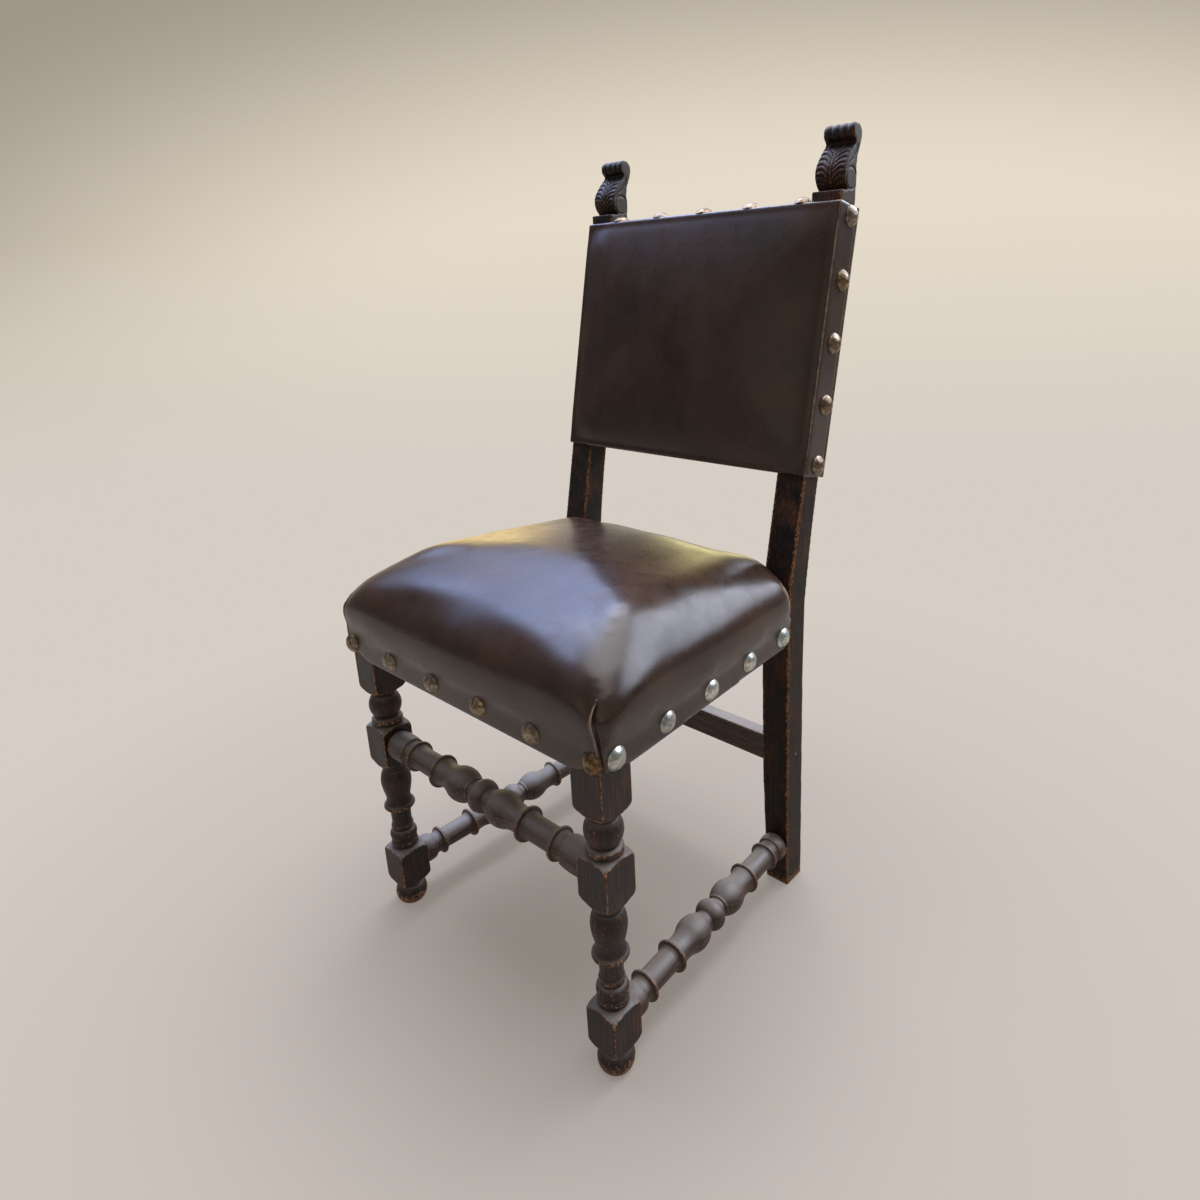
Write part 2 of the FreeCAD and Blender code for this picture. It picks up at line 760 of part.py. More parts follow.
def seat_rail_front():
    return tenoned_bar(
        "seat_rail_front",
        (f"-({leg_inner})", f"-({leg_half})", "dim.rail_low"),
        (leg_inner, f"dim.rail_thick - {leg_half}", rail_high),
        (front_tenon[0], tenon_floor),
        (front_tenon[1], tenon_roof),
        [holes_front],
    )


def seat_rail_rear():
    return tenoned_bar(
        "seat_rail_rear",
        (f"-({post_inner})", rear_face, "dim.rail_low"),
        (post_inner, rail_back, rail_high),
        (rear_tenon[0], tenon_floor),
        (rear_tenon[1], tenon_roof),
        [],
    )


def rear_stretcher():
    peg_sockets = []
    for name, way in (("left", -1), ("right", 1)):
        base = FreeCAD.Vector(way * peg_at.x, peg_at.y, peg_at.z)
        radius = "dim.peg_radius + dim.fit"
        length = "dim.peg_grip + dim.overrun"
        peg_sockets.append(rod(f"peg_socket_{name}", radius, length, base, sideways * way))
    return tenoned_bar(
        "rear_stretcher",
        (f"-({post_inner})", bar_front, bar_low),
        (post_inner, f"{bar_front} + dim.rear_stretcher_thick", bar_high),
        (bar_tenon[0], f"{bar_low} + dim.tenon_shoulder"),
        (bar_tenon[1], f"{bar_high} - dim.tenon_shoulder"),
        peg_sockets,
    )


def stretcher_pegs():
    pegs = []
    for name, way in (("left", -1), ("right", 1)):
        base = FreeCAD.Vector(way * (peg_at.x + value("dim.fit")), peg_at.y, peg_at.z)
        length = f"{post_outer} - ({tenon_end} - dim.peg_grip) - dim.fit"
        pegs.append(rod(f"stretcher_peg_{name}", "dim.peg_radius", length, base, sideways * way))
    return group("stretcher_pegs", pegs)


def seat_rail_side():
    plan = [
        (f"{leg_outer} - dim.rail_thick", leg_half, None),
        (leg_outer, leg_half, None),
        (post_outer, "dim.post_front", None),
        (f"{post_outer} - dim.rail_thick", "dim.post_front", None),
    ]
    bar = padded_outline("seat_rail_side_bar", "XY_Plane", plan, "dim.rail_tall")
    bar.setExpression("Placement.Base.z", "dim.rail_low")
    front = box(
        "seat_rail_side_front_tenon",
        (leg_tenon[0], f"{leg_half} - dim.tenon_length", tenon_floor),
        (leg_tenon[1], leg_half, tenon_roof),
    )
    rear = box(
        "seat_rail_side_rear_tenon",
        (post_tenon[0], "dim.post_front", tenon_floor),
        (post_tenon[1], "dim.post_front + dim.tenon_length", tenon_roof),
    )
    whole = doc.addObject("Part::MultiFuse", "seat_rail_side_whole")
    whole.Shapes = [bar, front, rear]
    whole.Refine = True
    return cut("seat_rail_right", whole, [holes_side])


# The side rail's inner face at a place behind the front legs' axes.
def rail_face(place):
    return f"({leg_outer} - dim.rail_thick - {flare} * (({place}) - {leg_half}))"


def corner_blocks():
    rail_inside = f"dim.rail_thick - {leg_half}"
    behind_leg = f"{leg_half} + dim.fit"
    front_end = f"{behind_leg} + dim.corner_reach"
    front_plan = [
        (f"{leg_inner} - dim.corner_reach", rail_inside, None),
        (f"{leg_inner} - dim.fit", rail_inside, None),
        (f"{leg_inner} - dim.fit", behind_leg, None),
        (rail_face(behind_leg), behind_leg, None),
        (rail_face(front_end), front_end, None),
    ]
    before_post = "dim.post_front - dim.fit"
    rear_end = f"{before_post} - dim.corner_reach"
    rear_plan = [
        (f"{post_inner} - dim.corner_reach", rear_face, None),
        (rail_face(rear_end), rear_end, None),
        (rail_face(before_post), before_post, None),
        (f"{post_inner} - dim.fit", before_post, None),
        (f"{post_inner} - dim.fit", rear_face, None),
    ]
    tall = "dim.rail_tall - 2 * dim.tenon_shoulder"
    blocks = []
    for name, plan in (("front", front_plan), ("rear", rear_plan)):
        block = padded_outline(f"corner_block_{name}", "XY_Plane", plan, tall)
        block.setExpression("Placement.Base.z", tenon_floor)
        blocks += [block, mirrored(f"corner_block_{name}_left", block)]
    return group("seat_corner_blocks", blocks)


def back_rail(name, low):
    holes = [holes_top] if name == "back_rail_upper" else []
    return tenoned_bar(
        name,
        (f"-({post_inner})", back_rail_face, low),
        (post_inner, back_rail_rear, f"{low} + dim.back_rail_tall"),
        (back_tenon[0], f"{low} + dim.tenon_shoulder"),
        (back_tenon[1], f"{low} + dim.back_rail_tall - dim.tenon_shoulder"),
        holes,
    )


# Straps lie side by side, the middle one's place given; each gives its middle and its two edges.
def web_places(middle):
    places = []
    for index in range(round(value("dim.web_count"))):
        place = f"({middle} + dim.web_pitch * ({index} - (dim.web_count - 1) / 2))"
        places.append((place, f"{place} - dim.web_width / 2", f"{place} + dim.web_width / 2"))
    return places


def seat_webbing_lengthwise():
    straps = []
    for place, near, far in web_places("0"):
        low = (near, f"dim.web_margin - {leg_half}", rail_high)
        high = (far, f"{rail_back} - dim.web_margin", f"{rail_high} + dim.web_thick")
        straps.append(box("lengthwise_strap", low, high))
    return group("seat_webbing_lengthwise", straps)


def seat_webbing_crosswise():
    straps = []
    for place, near, far in web_places("dim.post_front / 2"):
        reach = f"({rail_face(place)} + dim.rail_thick / 2)"
        low = (f"-{reach}", near, f"{rail_high} + dim.web_thick")
        straps.append(box("crosswise_strap", low, (reach, far, web_top)))
    return group("seat_webbing_crosswise", straps)


def seat_burlap():
    half_front = f"({leg_outer} - dim.web_margin)"
    half_rear = f"({post_inner} - dim.web_margin)"
    plan = [
        (f"{half_front} - {half_rear}", f"{rail_back} - dim.web_margin", None),
        (f"{half_front} - {rail_face('dim.post_front')}", "dim.post_front - dim.web_margin", None),
        ("0", leg_half, None),
        (f"2 * {half_front}", leg_half, None),
        (f"{half_front} + {rail_face('dim.post_front')}", "dim.post_front - dim.web_margin", None),
        (f"{half_front} + {half_rear}", f"{rail_back} - dim.web_margin", None),
    ]
    piece = padded_outline("burlap_sheet", "XY_Plane", plan, "dim.burlap_thick")
    piece.setExpression("Placement.Base.x", f"-{half_front}")
    piece.setExpression("Placement.Base.z", web_top)
    return group("seat_burlap", [piece])


seat_nose = f"({front_face} + dim.seat_bulge)"
seat_tail = f"({rail_back} + {cover_gap})"


# The seat's crowned form, drawn in by an inset: a fore-and-aft profile crossed with a side profile.
def seat_form(name, inset, low):
    tail = f"{seat_nose} + {seat_tail} - ({inset})"
    swell = share_of(-swell_bow_share, "dim.seat_bulge")
    over = share_of(-front_roll_share, "dim.front_roll_run")
    roll = share_of(-side_roll_share, "dim.side_roll_run")
    rise = share_of(-crown_bow_share, "dim.crown_setback")
    fall = share_of(-rear_bow_share, "dim.crown_setback")
    tuck = share_of(-round_bow_share, "dim.rear_round")
    long_profile = [
        (f"dim.seat_bulge + ({inset})", low, None),
        (f"dim.seat_bulge + ({inset})", seat_band, swell),
        (inset, seat_widest, over),
        (f"dim.front_roll_run + ({inset})", f"{front_shoulder} - ({inset})", rise),
        (f"{seat_nose} + dim.crown_setback", f"{seat_crown} - ({inset})", fall),
        (f"{tail} - dim.rear_round", f"{seat_rear} - ({inset})", tuck),
        (tail, rail_high, None),
        (tail, low, None),
    ]
    fore = padded_outline(name + "_fore", "YZ_Plane", long_profile, f"2 * {half_room}", centred=True)
    fore.setExpression("Placement.Base.y", f"-{seat_nose}")
    body = new_body(name + "_side")
    sections = []
    crown = f"-({seat_crown} + dim.crown_lift - {side_shoulder})"
    ends = (
        ("front", f"-({seat_nose} + dim.overrun)", "0"),
        ("rear", f"({seat_tail} + dim.overrun)", "dim.rear_sink"),
    )
    for end, place, sink in ends:
        shoulder = f"{side_shoulder} - {sink} - ({inset})"
        half = f"({rail_face(place)} + dim.rail_thick + {cover_gap} - ({inset}))"
        widest = f"({half} + dim.seat_bulge)"
        profile = [
            (f"{half_room} - {half}", low, None),
            (f"{half_room} - {half}", seat_band, swell),
            (f"{half_room} - {widest}", seat_widest, roll),
            (f"{half_room} - {widest} + dim.side_roll_run", shoulder, crown),
            (f"{half_room} + {widest} - dim.side_roll_run", shoulder, roll),
            (f"{half_room} + {widest}", seat_widest, swell),
            (f"{half_room} + {half}", seat_band, None),
            (f"{half_room} + {half}", low, None),
        ]
        sketch = sketch_on(body, "XZ_Plane", f"{name}_{end}")
        outline(sketch, profile)
        sketch.setExpression("AttachmentOffset.Base.z", f"-({place})")
        sections.append(sketch)
    loft = body.newObject("PartDesign::AdditiveLoft", name + "_loft")
    loft.Profile = sections[0]
    loft.Sections = [sections[1]]
    loft.Ruled = True
    body.setExpression("Placement.Base.x", f"-{half_room}")
    doc.recompute()
    return common(name, fore, body)


# The posts stand in the seat's rear corners.
def post_notches(name, gap):
    notches = []
    for side, start, stop in (
        ("left", f"-{half_room}", f"-({post_inner} - ({gap}))"),
        ("right", f"{post_inner} - ({gap})", half_room),
    ):
        notches.append(box(
            f"{name}_{side}",
            (start, f"dim.post_front - ({gap})", "dim.rail_low - dim.leg_block"),
            (stop, f"{seat_tail} + dim.overrun", f"{seat_crown} + dim.leg_block"),
        ))
    return notches


def seat_cover():
    outer = seat_form("seat_cover_outer", "0", cover_low)
    inner = seat_form("seat_cover_inner", "dim.leather", f"{cover_low} - dim.overrun")
    shell = cut("seat_cover_shell", outer, [inner])
    holes_left = mirrored("holes_side_left", holes_side)
    tools = post_notches("seat_cover_notch", "dim.fit") + [holes_front, holes_side, holes_left]
    return cut("seat_cover", shell, tools)


def seat_stuffing():
    form = seat_form("seat_stuffing_form", "dim.leather + dim.fit", "dim.rail_low")
    under = box(
        "seat_stuffing_under",
        (f"-{half_room}", f"-({seat_nose} + dim.overrun)", "dim.rail_low - dim.overrun"),
        (half_room, f"{seat_tail} + dim.overrun", f"{web_top} + dim.burlap_thick"),
    )
    notched = cut("seat_stuffing_notched", form, post_notches("seat_stuffing_notch", "dim.fit"))
    return cut("seat_stuffing", notched, [under])


# The padded back in its leaning frame: an upright profile crossed with a level one.
def back_form(name, inset, rear):
    half = f"({post_outer} + {cover_gap} - ({inset}))"
    low = f"(dim.back_low + ({inset}))"
    high = f"({back_high} - ({inset}))"
    edge = f"(dim.back_swell - dim.back_edge + ({inset}))"
    tail = f"(dim.back_swell + ({rear}))"
    swell = "-(dim.back_swell - dim.back_edge)"
    upright = [
        (edge, low, swell),
        (edge, high, None),
        (tail, high, None),
        (tail, low, None),
    ]
    wide = f"2 * {half} + dim.leg_block"
    body = padded_outline(name + "_upright", "YZ_Plane", upright, wide, centred=True)
    body.setExpression("Placement.Base.y", "-dim.back_swell")
    over_tail = f"{tail} + dim.overrun"
    level = [
        ("0", edge, "dim.back_swell - dim.back_edge + dim.swell_lift"),
        (f"2 * {half}", edge, None),
        (f"2 * {half}", over_tail, None),
        ("0", over_tail, None),
    ]
    plan = padded_outline(name + "_level", "XY_Plane", level, f"{high} - {low} + 2 * dim.overrun")
    plan.setExpression("Placement.Base.x", f"-{half}")
    plan.setExpression("Placement.Base.y", "-dim.back_swell")
    plan.setExpression("Placement.Base.z", f"{low} - dim.overrun")
    return common(name, body, plan)


def post_slots(name):
    slots = []
    for side, start, stop in (
        ("left", f"-({post_outer} + dim.fit)", f"-({post_inner} - dim.fit)"),
        ("right", f"{post_inner} - dim.fit", f"{post_outer} + dim.fit"),
    ):
        slots.append(box(
            f"{name}_{side}",
            (start, "-dim.fit", "dim.back_low - dim.leg_block"),
            (stop, "dim.back_depth + dim.lining_thick + dim.overrun", f"{back_high} + dim.leg_block"),
        ))
    return slots


back_rear = "dim.back_depth + dim.fit + dim.lining_thick"


def back_cover_front():
    outer = back_form("back_cover_outer", "0", back_rear)
    inner = back_form("back_cover_inner", "dim.leather", f"{back_rear} + dim.overrun")
    shell = cut("back_cover_shell", outer, [inner])
    left_holes = mirrored("back_holes_left", holes_back)
    slotted = cut("back_cover_slotted", shell, post_slots("back_cover_slot"))
    return cut("back_cover_front", slotted, [holes_back, left_holes, holes_top])


def back_stuffing():
    form = back_form("back_stuffing_form", "dim.leather + dim.fit", "dim.overrun")
    behind = box(
        "back_stuffing_behind",
        (f"-{half_room}", "0", "0"),
        (half_room, "dim.back_depth", f"{back_high} + dim.leg_block"),
    )
    return cut("back_stuffing", form, [behind])


back_cloth_low = f"{lower_rail_low} + dim.web_margin"
back_cloth_high = f"{upper_rail_low} + dim.back_rail_tall - dim.web_margin"


def back_webbing():
    straps = []
    for place, near, far in web_places("0"):
        low = (near, "dim.burlap_thick", back_cloth_low)
        straps.append(box("back_strap", low, (far, back_rail_face, back_cloth_high)))
    return group("back_webbing", straps)


def back_burlap():
    half = f"({post_inner} - dim.fit)"
    low = (f"-{half}", "0", back_cloth_low)
    sheet = box("back_burlap_sheet", low, (half, "dim.burlap_thick", back_cloth_high))
    return group("back_burlap", [sheet])


def back_lining():
    sheet = box(
        "back_lining_sheet",
        (f"-({post_outer})", "dim.back_depth + dim.fit", lower_rail_low),
        (post_outer, back_rear, f"{upper_rail_low} + dim.back_rail_tall"),
    )
    return group("back_lining", [sheet])


def back_cover_rear():
    half = f"{post_outer} + {cover_gap}"
    sheet = box(
        "back_cover_rear_sheet",
        (f"-({half})", back_rear, "dim.back_low"),
        (half, f"{back_rear} + dim.leather", back_high),
    )
    return group("back_cover_rear", [sheet])


leg = hand_in(front_leg(), "front_leg_right", standing)
hand_in(mirrored("front_leg_mirror", leg), "front_leg_left")
post = hand_in(rear_post(), "rear_post_right", standing)
hand_in(mirrored("rear_post_mirror", post), "rear_post_left")
hand_in(front_stretcher(), "front_stretcher", standing)
bar = hand_in(side_stretcher(), "side_stretcher_right", standing)
hand_in(mirrored("side_stretcher_mirror", bar), "side_stretcher_left")
hand_in(rear_stretcher(), "rear_stretcher", standing)
hand_in(stretcher_pegs(), "stretcher_pegs", standing)
hand_in(seat_rail_front(), "seat_rail_front", standing)
rail = hand_in(seat_rail_side(), "seat_rail_right", standing)
hand_in(mirrored("seat_rail_mirror", rail), "seat_rail_left")
hand_in(seat_rail_rear(), "seat_rail_rear", standing)
hand_in(corner_blocks(), "seat_corner_blocks", standing)
hand_in(seat_webbing_lengthwise(), "seat_webbing_lengthwise", standing)
hand_in(seat_webbing_crosswise(), "seat_webbing_crosswise", standing)
hand_in(seat_burlap(), "seat_burlap", standing)
hand_in(seat_stuffing(), "seat_stuffing", standing)
hand_in(seat_cover(), "seat_cover", standing)
hand_in(back_rail("back_rail_upper", upper_rail_low), "back_rail_upper", leaning)
hand_in(back_rail("back_rail_lower", lower_rail_low), "back_rail_lower", leaning)
hand_in(back_webbing(), "back_webbing", leaning)
hand_in(back_burlap(), "back_burlap", leaning)
hand_in(back_stuffing(), "back_stuffing", leaning)
hand_in(back_cover_front(), "back_cover_front", leaning)
hand_in(back_lining(), "back_lining", leaning)
hand_in(back_cover_rear(), "back_cover_rear", leaning)
hand_in(group("seat_studs_front", [studs_front]), "seat_studs_front", standing)
side_studs = hand_in(group("seat_studs_right", [studs_side]), "seat_studs_right", standing)
hand_in(mirrored("seat_studs_left", side_studs), "seat_studs_left")
back_studs = hand_in(group("back_studs_right", [studs_back]), "back_studs_right", leaning)
hand_in(mirrored("back_studs_left", back_studs), "back_studs_left")
hand_in(group("back_studs_top", [studs_top]), "back_studs_top", leaning)
doc.recompute()

for item in doc.Objects:
    if "Invalid" in item.State or "Error" in item.State:
        raise RuntimeError(item.Name + " failed")
for node in nodes:
    if node.Shape.isNull() or not node.Shape.isValid() or not node.Shape.Solids:
        raise RuntimeError(node.Label + " has no sound shape")
for node in nodes:
    node.Shape.exportStep(f"parts/{node.Label}.step")
    print(node.Label, len(node.Shape.Solids), round(node.Shape.Volume))
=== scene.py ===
import json
import math
import random
from functools import partial

import bmesh
import bpy
import numpy as np
from mathutils import Matrix, Vector, noise

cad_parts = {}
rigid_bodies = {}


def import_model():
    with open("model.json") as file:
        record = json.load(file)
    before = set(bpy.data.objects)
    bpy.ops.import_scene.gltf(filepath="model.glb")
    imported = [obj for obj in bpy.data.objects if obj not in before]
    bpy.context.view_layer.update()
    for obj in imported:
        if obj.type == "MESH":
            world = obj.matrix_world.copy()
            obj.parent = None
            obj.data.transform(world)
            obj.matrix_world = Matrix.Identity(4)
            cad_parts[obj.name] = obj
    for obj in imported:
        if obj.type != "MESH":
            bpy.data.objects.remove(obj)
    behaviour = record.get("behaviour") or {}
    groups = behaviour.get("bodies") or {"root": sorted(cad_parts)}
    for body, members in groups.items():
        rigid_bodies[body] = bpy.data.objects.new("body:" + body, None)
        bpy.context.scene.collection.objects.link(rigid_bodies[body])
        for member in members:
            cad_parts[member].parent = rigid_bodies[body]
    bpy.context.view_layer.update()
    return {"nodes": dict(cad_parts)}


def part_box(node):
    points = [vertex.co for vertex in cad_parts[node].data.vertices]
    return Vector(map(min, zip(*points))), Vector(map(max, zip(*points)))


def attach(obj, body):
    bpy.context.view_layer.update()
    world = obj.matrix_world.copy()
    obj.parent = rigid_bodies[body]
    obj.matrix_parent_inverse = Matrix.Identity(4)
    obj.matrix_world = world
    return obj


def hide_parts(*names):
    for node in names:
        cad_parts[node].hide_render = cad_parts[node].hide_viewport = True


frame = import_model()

mm = 0.001
chance = random.Random(5)
scene = bpy.context.scene
nodes = frame["nodes"]
print("frame loaded:", len(nodes), "nodes")


def linear(hexColour):  # sRGB hex to the linear values that shaders take
    parts = [int(hexColour[place:place + 2], 16) / 255 for place in (1, 3, 5)]
    lifted = [part / 12.92 if part <= 0.04045 else ((part + 0.055) / 1.055) ** 2.4 for part in parts]
    return (*lifted, 1)


# a feed is a value, a hex colour, a socket, or a node, which gives its first output
# stops are a ramp's places and colours, or the two ends of a range and what they become
# every mix is of colours, and takes its share at 0 and its two colours at 6 and 7
def addNode(tree, kind, feeds=None, stops=None, **settings):
    node = tree.nodes.new("ShaderNode" + kind)
    if kind == "Mix":
        node.data_type = "RGBA"
    for name, setting in settings.items():
        setattr(node, name, setting)
    for socket, source in (feeds or {}).items():
        if isinstance(source, bpy.types.Node):
            source = next(output for output in source.outputs if output.enabled)
        if isinstance(source, bpy.types.NodeSocket):
            tree.links.new(source, node.inputs[socket])
        else:
            node.inputs[socket].default_value = linear(source) if isinstance(source, str) else source
    if kind == "MapRange":
        for limit, stop in zip(node.inputs[1:5], stops):
            limit.default_value = stop
    elif stops:
        (first, colour), *others = stops
        ramp = node.color_ramp
        ramp.elements.remove(ramp.elements[1])
        ramp.elements[0].position = first
        ramp.elements[0].color = linear(colour)
        for place, colour in others:
            ramp.elements.new(place).color = linear(colour)
    return node


eased = {"interpolation_type": "SMOOTHSTEP"}


def makeMaterial(name, recipe, **wants):
    material = bpy.data.materials.new(name)
    material.use_nodes = True
    material.node_tree.nodes.clear()
    add = partial(addNode, material.node_tree)
    surface = recipe(add, add("TexCoord").outputs["Object"], **wants)
    add("OutputMaterial", {"Surface": surface})
    return material


def stainedOak(add, place, along, tones, wear, settle, shine):
    # Oak stained almost black and waxed: satin, streaked along the grain, rubbed through to copper on its
    # edges, painted shade in its hollows, dust and a painted pale sheen on its tops and the finials' sides.
    oak = {"streak": 2.4 * mm, "run": 16, "patch": 45 * mm, "chip": 3.5 * mm,
           "pore": 1.2 * mm}   # pores drawn coarser than real, to show
    stretch = [1, 1, 1]
    stretch[along] = 1 / oak["run"]
    laid = add("Mapping", {"Vector": place, "Scale": stretch})
    streak = add("TexNoise", {
        "Vector": laid, "Scale": 1 / oak["streak"], "Detail": 6, "Roughness": 0.6, "Distortion": 0.3})
    pore, patch, chip = (
        add("TexNoise", {"Vector": where, "Scale": 1 / oak[name], "Detail": detail})
        for name, where, detail in (("pore", laid, 2), ("patch", place, 5), ("chip", place, 4)))
    dark = add("ValToRGB", {"Fac": streak}, zip((0.3, 0.48, 0.6, 0.74), tones))
    rubbed = add("ValToRGB", {"Fac": streak}, [(0.3, "#2a180f"), (0.55, "#4f2f1e"), (0.75, "#6d4329")])
    thin = add("MapRange", {"Value": patch}, (0.5, 0.68, 0, 0.7))
    stained = add("Mix", {0: thin, 6: dark, 7: rubbed})
    relief = add("Attribute", attribute_name="relief").outputs["Fac"]
    broken = add("Math", {0: chip, 1: -0.5}, operation="ADD")
    ragged = add("Math", {0: broken, 1: 2.3, 2: relief}, operation="MULTIPLY_ADD")
    worn = add("MapRange", {"Value": ragged}, (0.42, 0.9, 0, wear), **eased)
    bare = add("ValToRGB", {"Fac": chip}, [(0.35, "#6a4328"), (0.65, "#ad7a4f")])
    edged = add("Mix", {0: worn, 6: stained, 7: bare})
    # painted shade: hollows in the wood are darkened towards near-black
    hollow = add("MapRange", {"Value": relief}, (-0.15, -0.8, 0, 0.75))
    shadedHollows = add("Mix", {0: hollow, 6: edged, 7: "#080605"})
    # dust and a painted pale sheen on the finials' sides
    dust = add("Attribute", attribute_name="dust").outputs["Fac"]
    dustAndSheenPatches = add("Math", {0: dust, 1: patch}, operation="MULTIPLY")
    sideDustAndSheen = add("Mix", {0: dustAndSheenPatches, 6: shadedHollows, 7: "#453e2e"})
    # dust and a painted pale sky sheen: faces that look upwards are greyed
    upward = add("SeparateXYZ", {0: add("NewGeometry").outputs["Normal"]}).outputs["Z"]
    topDustAndSheenShare = add("MapRange", {"Value": upward}, (0.3, 0.95, 0, settle), **eased)
    topDustAndSheened = add("Mix", {0: topDustAndSheenShare, 6: sideDustAndSheen, 7: "#8c857f"})
    satin = add("MapRange", {"Value": patch}, (0.3, 0.7, 0.42, 0.6))
    dull = add("Math", {0: worn, 1: 0.15, 2: satin}, operation="MULTIPLY_ADD")
    height = add("Math", {0: pore, 1: 0.6, 2: streak}, operation="MULTIPLY_ADD")
    bump = add("Bump", {"Strength": 0.35, "Distance": 0.5 * mm, "Height": height})
    return add("BsdfPrincipled", {
        "IOR": 1.5, "Specular IOR Level": shine, "Base Color": topDustAndSheened, "Roughness": dull, "Normal": bump})


def brownLeather(add, place):
    # Cowhide, dyed chocolate and polished by use: semi-gloss, hairline scratches and creases,
    # tan where edges are rubbed, with a painted pale highlight along those edges, and painted shade in its
    # hollows.
    hide = {"cloud": 90 * mm, "mottle": 9 * mm, "pebble": 1.6 * mm, "scuff": 22 * mm, "fading": 45 * mm,
            "crease": 120 * mm, "hair": 35 * mm}
    cloud, mottle, fading = (
        add("TexNoise", {"Vector": place, "Scale": 1 / hide[name], "Detail": detail})
        for name, detail in (("cloud", 4), ("mottle", 2), ("fading", 2)))
    pebble = add("TexVoronoi", {"Vector": place, "Scale": 1 / hide["pebble"]}, feature="SMOOTH_F1")
    scuff = add("TexNoise", {"Vector": place, "Scale": 1 / hide["scuff"], "Detail": 4, "Roughness": 0.55})
    dyed = add("ValToRGB", {"Fac": cloud}, [(0.3, "#281a12"), (0.5, "#342218"), (0.7, "#402b1e")])
    speck = add("ValToRGB", {"Fac": mottle}, [(0.35, "#1d120c"), (0.65, "#36241a")])
    base = add("Mix", {0: 0.15, 6: dyed, 7: speck})
    lines = []
    courses = ((hide["crease"], 0.0018, cloud, 0.54), (hide["hair"], 0.0022, fading, 0.63))
    for size, width, gate, sparse in courses:
        # the level lines of a smooth noise wander like creases, and a second noise breaks them up
        course = add("TexNoise", {"Vector": place, "Scale": 1 / size, "Detail": 1, "Roughness": 0.3})
        offset = add("Math", {0: course, 1: -0.5}, operation="ADD")
        away = add("Math", {0: offset}, operation="ABSOLUTE")
        thread = add("MapRange", {"Value": away}, (width, 0, 0, 1))
        gaps = add("MapRange", {"Value": gate}, (sparse - 0.05, sparse + 0.05))
        lines.append(add("Math", {0: thread, 1: gaps}, operation="MULTIPLY"))
    crease, hair = lines
    creased = add("Mix", {0: crease, 6: base, 7: "#120c09"})
    faint = add("Math", {0: hair, 1: 0.3}, operation="MULTIPLY")
    scratched = add("Mix", {0: faint, 6: creased, 7: "#7a6450"})
    relief = add("Attribute", attribute_name="relief").outputs["Fac"]
    # pale along convex edges and folds: wear, together with a painted highlight in the same colour
    ragged = add("Math", {0: mottle, 1: 0.5, 2: relief}, operation="MULTIPLY_ADD")
    rubbed = add("MapRange", {"Value": ragged}, (0.8, 1.25, 0, 0.75), **eased)
    edged = add("Mix", {0: rubbed, 6: scratched, 7: "#a58f79"})
    # painted shade: pleat gaps, dimples and other hollows are darkened towards near-black
    hollow = add("MapRange", {"Value": relief}, (-0.25, -1, 0, 0.8))
    hollowShade = add("Mix", {0: hollow, 6: edged, 7: "#0d0907"})
    gloss = add("MapRange", {"Value": scuff}, (0.35, 0.7, 0.25, 0.34))
    scraped = add("Math", {0: crease, 1: 0.2, 2: gloss}, operation="MULTIPLY_ADD")
    sunkLines = add("Math", {0: crease, 1: -0.8, 2: pebble}, operation="MULTIPLY_ADD")
    bump = add("Bump", {"Strength": 0.07, "Distance": 0.4 * mm, "Height": sunkLines})
    return add("BsdfPrincipled", {"IOR": 1.4, "Coat Weight": 0.12, "Coat Roughness": 0.2,
                                  "Base Color": hollowShade, "Roughness": scraped, "Normal": bump})


def agedBrass(add, place):
    # Cast brass beaten with a hammer, long untouched: dull gold or worn silver on the facets,
    # brown and green in the dips.
    cast = {"spot": 5 * mm, "grit": 1.4 * mm}
    spot = add("TexNoise", {"Vector": place, "Scale": 1 / cast["spot"], "Detail": 5})
    grit = add("TexNoise", {"Vector": place, "Scale": 1 / cast["grit"], "Detail": 3})
    tone = add("Attribute", attribute_name="tone").outputs["Fac"]
    relief = add("Attribute", attribute_name="relief").outputs["Fac"]
    gold = add("ValToRGB", {"Fac": spot}, [(0.35, "#45311d"), (0.55, "#6c5337"), (0.7, "#90754c")])
    silver = add("ValToRGB", {"Fac": spot}, [(0.35, "#8fa3a2"), (0.5, "#c0bfb7"), (0.7, "#e6e3da")])
    alloy = add("Mix", {0: tone, 6: gold, 7: silver})
    dip = add("MapRange", {"Value": relief}, (0, -0.9, 0, 0.7))
    green = add("ValToRGB", {"Fac": grit}, [(0.4, "#33291c"), (0.65, "#5c6152")])
    tarnished = add("Mix", {0: dip, 6: alloy, 7: green})
    dull = add("MapRange", {"Value": spot}, (0.3, 0.7, 0.5, 0.3))
    bump = add("Bump", {"Strength": 0.3, "Distance": 0.3 * mm, "Height": grit})
    return add("BsdfPrincipled", {"Metallic": 1, "Base Color": tarnished, "Roughness": dull, "Normal": bump})


def plainWeave(add, place, thread, pale, deep):
    # Jute yarn in a plain weave: rough straw-coloured threads over and under, dark in the gaps, no shine.
    waveScale = math.pi / (10 * thread)   # the wave node repeats every pi / 10 at a scale of 1
    bands = [add("TexWave", {"Vector": place, "Scale": waveScale, "Distortion": 0.6, "Detail Scale": 3},
                 bands_direction=axis).outputs["Fac"] for axis in ("X", "Y")]
    weave = add("Math", {0: bands[0], 1: bands[1]}, operation="MULTIPLY")
    slub = add("TexNoise", {"Vector": place, "Scale": 1 / (6 * thread), "Detail": 4})
    mixed = add("Math", {0: slub, 1: 0.5, 2: weave}, operation="MULTIPLY_ADD")
    shade = add("ValToRGB", {"Fac": mixed}, [(0.2, deep), (0.9, pale)])
    bump = add("Bump", {"Strength": 0.6, "Distance": 0.5 * mm, "Height": weave})
    return add("BsdfPrincipled", {
        "Roughness": 0.95, "Sheen Weight": 0.2, "Base Color": shade, "Normal": bump})


